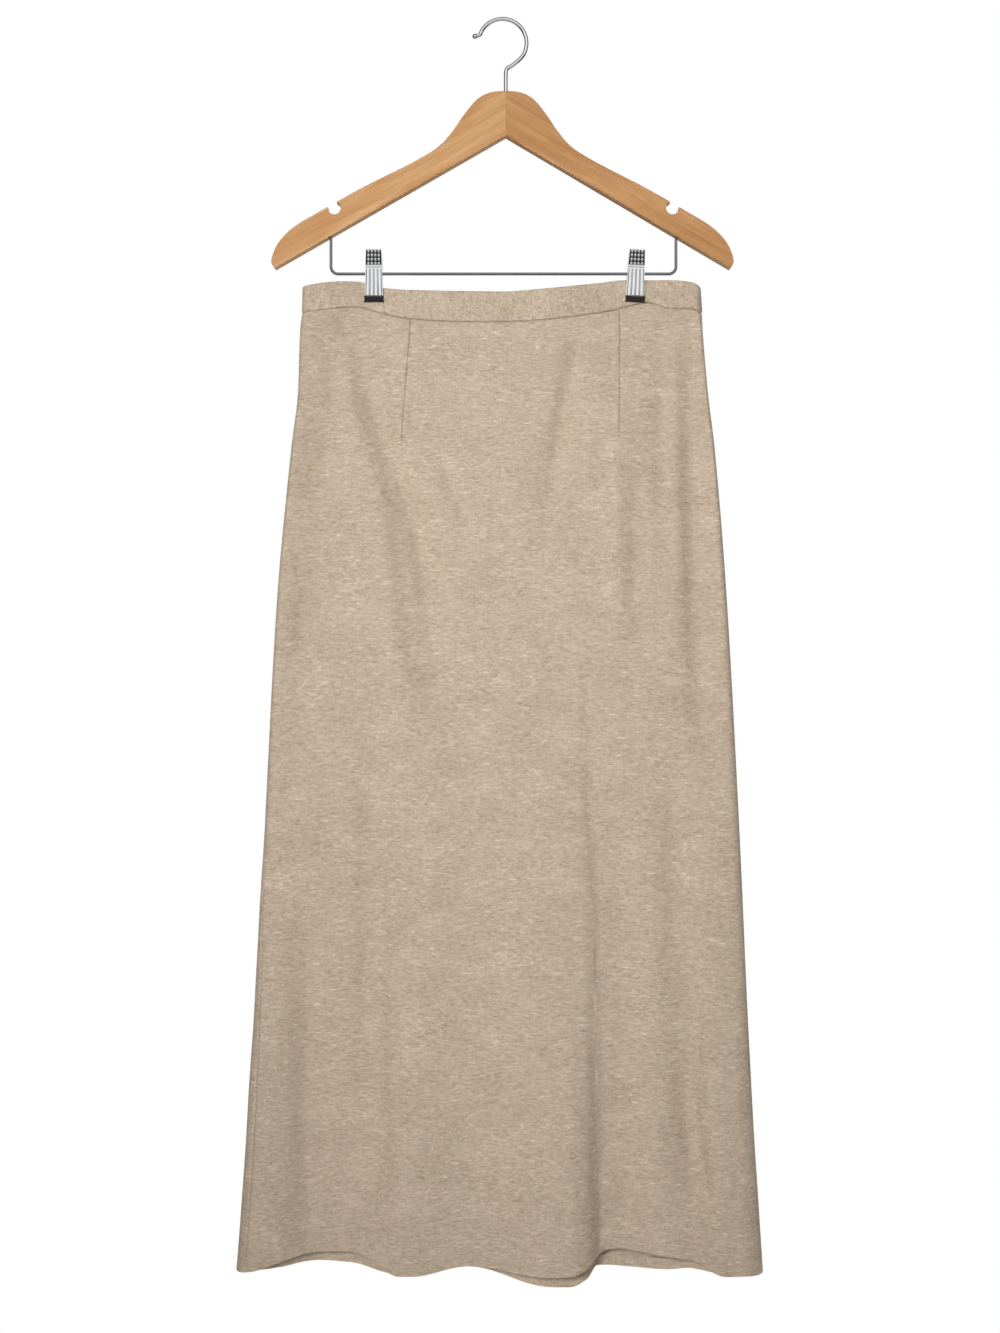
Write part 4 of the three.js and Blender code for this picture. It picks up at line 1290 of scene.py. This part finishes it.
def add_cheek(bm, side, x):
    """Cheek of a jaw with the hole that the bar passes through."""
    outline = cheek_outline(side)
    corners = [math.atan2(z, y) % TURN for y, z in outline]
    angles = np.unique(np.concatenate((np.arange(CHEEK_SPOKES) / CHEEK_SPOKES * TURN, corners)))
    hole = BAR_WIRE / 2 + BAR_CLEAR
    rings = []
    for sheet in (-JAW_SHEET / 2, JAW_SHEET / 2):
        for reach in (lambda a: hole, lambda a: ray_to(outline, a)):
            spots = [(reach(a) * math.cos(a), reach(a) * math.sin(a)) for a in angles]
            rings.append([bm.verts.new((flared(x, z) + sheet, y, z)) for y, z in spots])
    low_in, low_out, high_in, high_out = rings
    for k in range(len(angles)):
        n = (k + 1) % len(angles)
        for a, b in ((low_in, low_out), (low_out, high_out), (high_out, high_in), (high_in, low_in)):
            bm.faces.new((a[k], b[k], b[n], a[n]))


def moved_mesh(bm, name, points, move):
    """Mesh of a bmesh whose points are moved to a clip's place."""
    for vert, co in zip(bm.verts, move(points)):
        vert.co = co
    return finished(bm, name, CLIP_SHARP)


def jaw_mesh(side, name, grip, move):
    """Whole jaw: plate, cheeks, and the raised ribs and dots bent to the plate."""
    bm = plate_mesh(side)
    nest = 0 if side == FRONT else JAW_SHEET + FIT_GAP
    for sign in (-1, 1):
        add_cheek(bm, side, sign * (JAW_WIDTH / 2 - JAW_SHEET / 2 - nest))
    start = len(bm.verts)
    bm.from_mesh(grip)
    bm.verts.ensure_lookup_table()
    for vert in bm.verts[start:]:
        x, proud, z = vert.co / MM
        vert.co = (flared(x, z), side * (jaw_out(z) + JAW_SHEET / 2 + proud), z)
    return moved_mesh(bm, name, [vert.co for vert in bm.verts], move)


def pad_mesh(side, name, move):
    """Moulded pad under a jaw's tip, with soft edges."""
    bm = bmesh.new()
    inner = CLIP_HALF_GAP + BAND_PROUD + FIT_GAP
    made = bmesh.ops.create_cube(bm, size=1.0)
    for vert in made["verts"]:
        x, y, z = vert.co
        depth = inner + (y + 0.5) * PAD_DEPTH
        vert.co = (x * PAD_WIDTH, side * depth, lerp(PAD_BOTTOM, PAD_TOP, z + 0.5))
    bevelled(bm, bm.edges[:], PAD_EDGE, 3)
    return moved_mesh(bm, name, [vert.co for vert in bm.verts], move)


def spring_mesh(name, coil, move):
    """Coil laid along the bar."""
    bm = bmesh.new()
    bm.from_mesh(coil)
    middle = sum(vert.co.z for vert in bm.verts) / len(bm.verts)
    points = [(vert.co.z - middle, vert.co.x, vert.co.y) for vert in bm.verts]
    return moved_mesh(bm, name, np.array(points) / MM, move)


# Pieces

def piece(name, mesh, material, slot, *nodes):
    """Object for a mesh, with its finish, on the part's one body, standing for its solids."""
    obj = linked(name, mesh)
    mesh.materials.clear()
    mesh.materials.append(material)
    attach(obj, BODY)
    if nodes:
        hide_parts(*nodes)
    return obj


def hem_line(name, *lines):
    """Edges along rows of points, for stitches to follow."""
    points, edges = [], []
    for line in lines:
        first = len(points)
        points += line.tolist()
        edges += [(first + i, first + i + 1) for i in range(len(line) - 1)]
    mesh = bpy.data.meshes.new(name)
    mesh.from_pydata(points, edges, [])
    return mesh


weave = weave_group()
grain = grain_group()
panel_cloth = cloth_material("panel_cloth", weave, (0.31, 0.17, 0), 0.9, 0.32, 3.0)
band_cloth = cloth_material("band_cloth", weave, (2.13, 1.71, 0), 1.2, 0.55, 1.2)
thread = mottled_material(
    "thread", linear(186, 166, 143), linear(214, 196, 174), (0.7, 0.85), 900.0, {"Sheen Weight": 0.1},
)
wood_left = wood_material("wood_left", grain, GRAIN_TURN, linear(231, 184, 133), linear(188, 133, 82))
wood_right = wood_material("wood_right", grain, -GRAIN_TURN, linear(217, 167, 115), linear(169, 115, 67))
chrome = mottled_material(
    "chrome", linear(212, 213, 214), linear(230, 231, 232), (0.06, 0.12), 120.0, {"Metallic": 1.0},
)
# Darker copy of the chrome for the bar, which is the same plated wire as the hook: its lower colour is
# painted shade for the darker look of the bar's reflections
bar_chrome_painted_shade = mottled_material(
    "bar_chrome_painted_shade", linear(126, 127, 129), linear(150, 151, 153), (0.12, 0.2), 120.0, {"Metallic": 1.0},
)
rubber = mottled_material(
    "rubber", linear(26, 26, 27), linear(44, 43, 43), (0.55, 0.75), 700.0, {"Specular IOR Level": 0.35},
)

sewing = stitch_tree()
stitch = (STITCH_LENGTH * MM, STITCH_WIDTH * MM, STITCH_WIDTH * MM)

for side, word in ((FRONT, "front"), (BACK, "back")):
    band = piece(f"band_{word}", waistband(side, f"band_{word}"), band_cloth, "cloth", f"waistband_{word}")
    skirt_mesh, hem_outside, hem_inside = panel(side, f"panel_{word}")
    skirt = piece(f"panel_{word}", skirt_mesh, panel_cloth, "cloth", f"{word}_panel")
    rows = hem_line(f"hem_rows_{word}", hem_outside, hem_inside)
    sewn = grown(f"hem_stitches_{word}", sewing, {
        "Pitch": STITCH_PITCH * MM,
        "Stitch": stitch,
        "Thread": thread,
    }, rows)
    sewn.shade_smooth()
    hem_stitches = piece(f"hem_stitches_{word}", sewn, thread, "cloth")

for sign, word, wood in ((-1, "left", wood_left), (1, "right", wood_right)):
    piece(f"arm_{word}", arm_mesh(sign, f"arm_{word}"), wood, "wood", f"hanger_arm_{word}")
piece("wire_hook", wire_mesh("wire_hook", hook_path(), HOOK_WIRE, HOOK_BALL), chrome, "chrome", "hook")
piece("wire_bar", wire_mesh("wire_bar", bar_path(), BAR_WIRE), bar_chrome_painted_shade, "chrome", "clip_bar")

grip_mesh = grown("grip", grip_tree(), {
    "Rib Count": RIB_COUNT,
    "Rib Pitch": RIB_PITCH * MM,
    "Rib Top": RIB_TOP * MM,
    "Rib Bottom": RIB_BOTTOM * MM,
    "Rib Size": (RIB_HALF_WIDTH * MM, RIB_HEIGHT * MM, 1.0),
    "Dot Rows": DOT_ROWS,
    "Dot Span": DOT_PITCH * (DOT_ROWS - 1) * MM,
    "Dot Height": DOT_RISE * (DOT_ROWS - 1) * MM,
    "Dot Middle": (0, 0, (DOT_FOOT + DOT_RISE * (DOT_ROWS - 1) / 2) * MM),
    "Dot Size": (DOT_RADIUS * MM, DOT_HEIGHT * MM, DOT_RADIUS * MM),
    "Metal": chrome,
})
coil_mesh = grown("coil", coil_tree(), {
    "Turns": float(SPRING_TURNS),
    "Radius": SPRING_RADIUS * MM,
    "Height": (JAW_WIDTH - 4 * JAW_SHEET - 4 * FIT_GAP - SPRING_WIRE) * MM,
    "Wire Radius": SPRING_WIRE / 2 * MM,
    "Metal": chrome,
})
for clip, clip_x, tilt in CLIPS:
    move = clip_place(clip_x, tilt)
    for side, word in ((FRONT, "front"), (BACK, "back")):
        name = f"{clip}_jaw_{word}"
        piece(name, jaw_mesh(side, name, grip_mesh, move), chrome, "chrome", f"clip_{name}")
        name = f"{clip}_pad_{word}"
        piece(name, pad_mesh(side, name, move), rubber, "rubber", f"clip_{name}")
    name = f"{clip}_spring"
    piece(name, spring_mesh(name, coil_mesh, move), chrome, "chrome", f"clip_{name}")


# Studio

WHITE = (1, 1, 1, 1)
FILL = (0.04, 0.06)
FLOOR_HALF_SIZE = 2.0
FLOOR_PLACE = (0, -1.05, -1.65)
FLOOR_GLOW = 0.32
FLOOR_SEEN = 0.72

# Greys that shine meets: from the camera's side of the room to its back, and from floor to ceiling
ROOM_DEPTHS = (
    (0, 1.1), (0.13, 1.25), (0.21, 0.12), (0.45, 0.12), (0.5, 0.3), (0.55, 0.12), (0.8, 0.08), (1, 0.8),
)
ROOM_HEIGHTS = ((0, 0.9), (0.36, 0.9), (0.42, 0.02), (0.475, 0.02), (0.525, 1), (1, 1))

# Square lights: place and target in metres, side, watts and spread
LIGHTS = (
    ("key_high", (-0.5, -2.2, -0.2), (0.06, 0, -0.28), 0.4, 4.3, math.radians(60)),
    ("key_low", (-0.3, -2.2, -0.3), (0.01, 0, -1.16), 0.4, 1.12, math.radians(45)),
    ("side", (-2.6, -2.3, 0.4), (0, 0, -0.6), 0.9, 7, math.pi),
    ("far_side", (2.5, 1.0, 0), (0, 0, -0.6), 0.6, 12, math.pi),
    ("back", (0.4, 2.4, -0.4), (0, 0, -0.7), 1.6, 34, math.pi),
)


def room_greys(tree, way, greys):
    """Greys met in turn from one wall of the room to the other."""
    share = tree.add("ShaderNodeMapRange", {0: way, 1: -1.0, 2: 1.0})
    ramp = tree.add("ShaderNodeValToRGB", {0: share.outputs[0]})
    stops = ramp.color_ramp.elements
    for stop, (place, grey) in zip(stops, (greys[0], greys[-1])):
        stop.position = place
        stop.color = (grey, grey, grey, 1)
    for place, grey in greys[1:-1]:
        stops.new(place).color = (grey, grey, grey, 1)
    return ramp.outputs[0]


def studio_world():
    """White to the camera, plain soft light all round, and a room of light and dark for shine."""
    world = bpy.data.worlds.new("studio")
    bpy.context.scene.world = world
    world.use_nodes = True
    tree = Tree(world.node_tree)
    world.node_tree.nodes.clear()
    at = tree.add("ShaderNodeTexCoord")
    parts = tree.add("ShaderNodeSeparateXYZ", {0: at.outputs["Generated"]})
    depth = room_greys(tree, parts.outputs["Y"], ROOM_DEPTHS)
    height = room_greys(tree, parts.outputs["Z"], ROOM_HEIGHTS)
    room = tree.add("ShaderNodeBackground", {"Color": depth, "Strength": height})
    low, high = FILL
    fill = tree.add("ShaderNodeMapRange", {0: parts.outputs["Z"], 1: -1.0, 2: 1.0, 3: low, 4: high})
    soft = tree.add("ShaderNodeBackground", {"Color": WHITE, "Strength": fill.outputs[0]})
    plain = tree.add("ShaderNodeBackground", {"Color": WHITE, "Strength": 1.0})
    seen = tree.add("ShaderNodeLightPath")
    shine = tree.add("ShaderNodeMixShader", {
        0: seen.outputs["Is Glossy Ray"],
        1: soft.outputs[0],
        2: room.outputs[0],
    })
    mix = tree.add("ShaderNodeMixShader", {
        0: seen.outputs["Is Camera Ray"],
        1: shine.outputs[0],
        2: plain.outputs[0],
    })
    tree.add("ShaderNodeOutputWorld", {0: mix.outputs[0]})


def area_light(name, place, target, side, watts, spread):
    light = bpy.data.lights.new(name, "AREA")
    light.shape = "RECTANGLE"
    light.size = light.size_y = side
    light.energy = watts
    light.spread = spread
    obj = linked(name, light)
    obj.location = place
    obj.visible_glossy = False
    way = np.subtract(target, place)
    obj.rotation_euler = (math.atan2(math.hypot(way[0], way[1]), -way[2]), 0, math.atan2(-way[0], way[1]))


def pale_floor():
    bm = bmesh.new()
    bmesh.ops.create_grid(bm, x_segments=8, y_segments=8, size=FLOOR_HALF_SIZE)
    bmesh.ops.translate(bm, verts=bm.verts, vec=FLOOR_PLACE)
    mesh = bpy.data.meshes.new("floor")
    bm.to_mesh(mesh)
    bm.free()
    finish = mottled_material(
        "floor_paint", linear(226, 225, 222), linear(234, 233, 231), (0.8, 0.9), 6.0,
        {"Specular IOR Level": 0.2, "Emission Color": linear(240, 239, 237)},
    )
    tree = Tree(finish.node_tree)
    seen = tree.add("ShaderNodeLightPath")
    glow = tree.add("ShaderNodeMapRange", {0: seen.outputs["Is Camera Ray"], 3: FLOOR_GLOW, 4: FLOOR_SEEN})
    tree.link(glow.outputs[0], finish.node_tree.nodes[SHADER].inputs["Emission Strength"])
    mesh.materials.append(finish)
    obj = linked("floor", mesh)


def camera():
    data = bpy.data.cameras.new("camera")
    data.sensor_width = SENSOR
    data.lens = SENSOR * VIEW_DISTANCE / VIEW_HEIGHT
    obj = linked("camera", data)
    obj.location = (VIEW_CENTRE[0], -VIEW_DISTANCE, VIEW_CENTRE[1])
    obj.rotation_euler = (math.pi / 2, 0, 0)
    bpy.context.scene.camera = obj


studio_world()
for light in LIGHTS:
    area_light(*light)
pale_floor()
camera()
bpy.context.scene.view_settings.view_transform = "Standard"
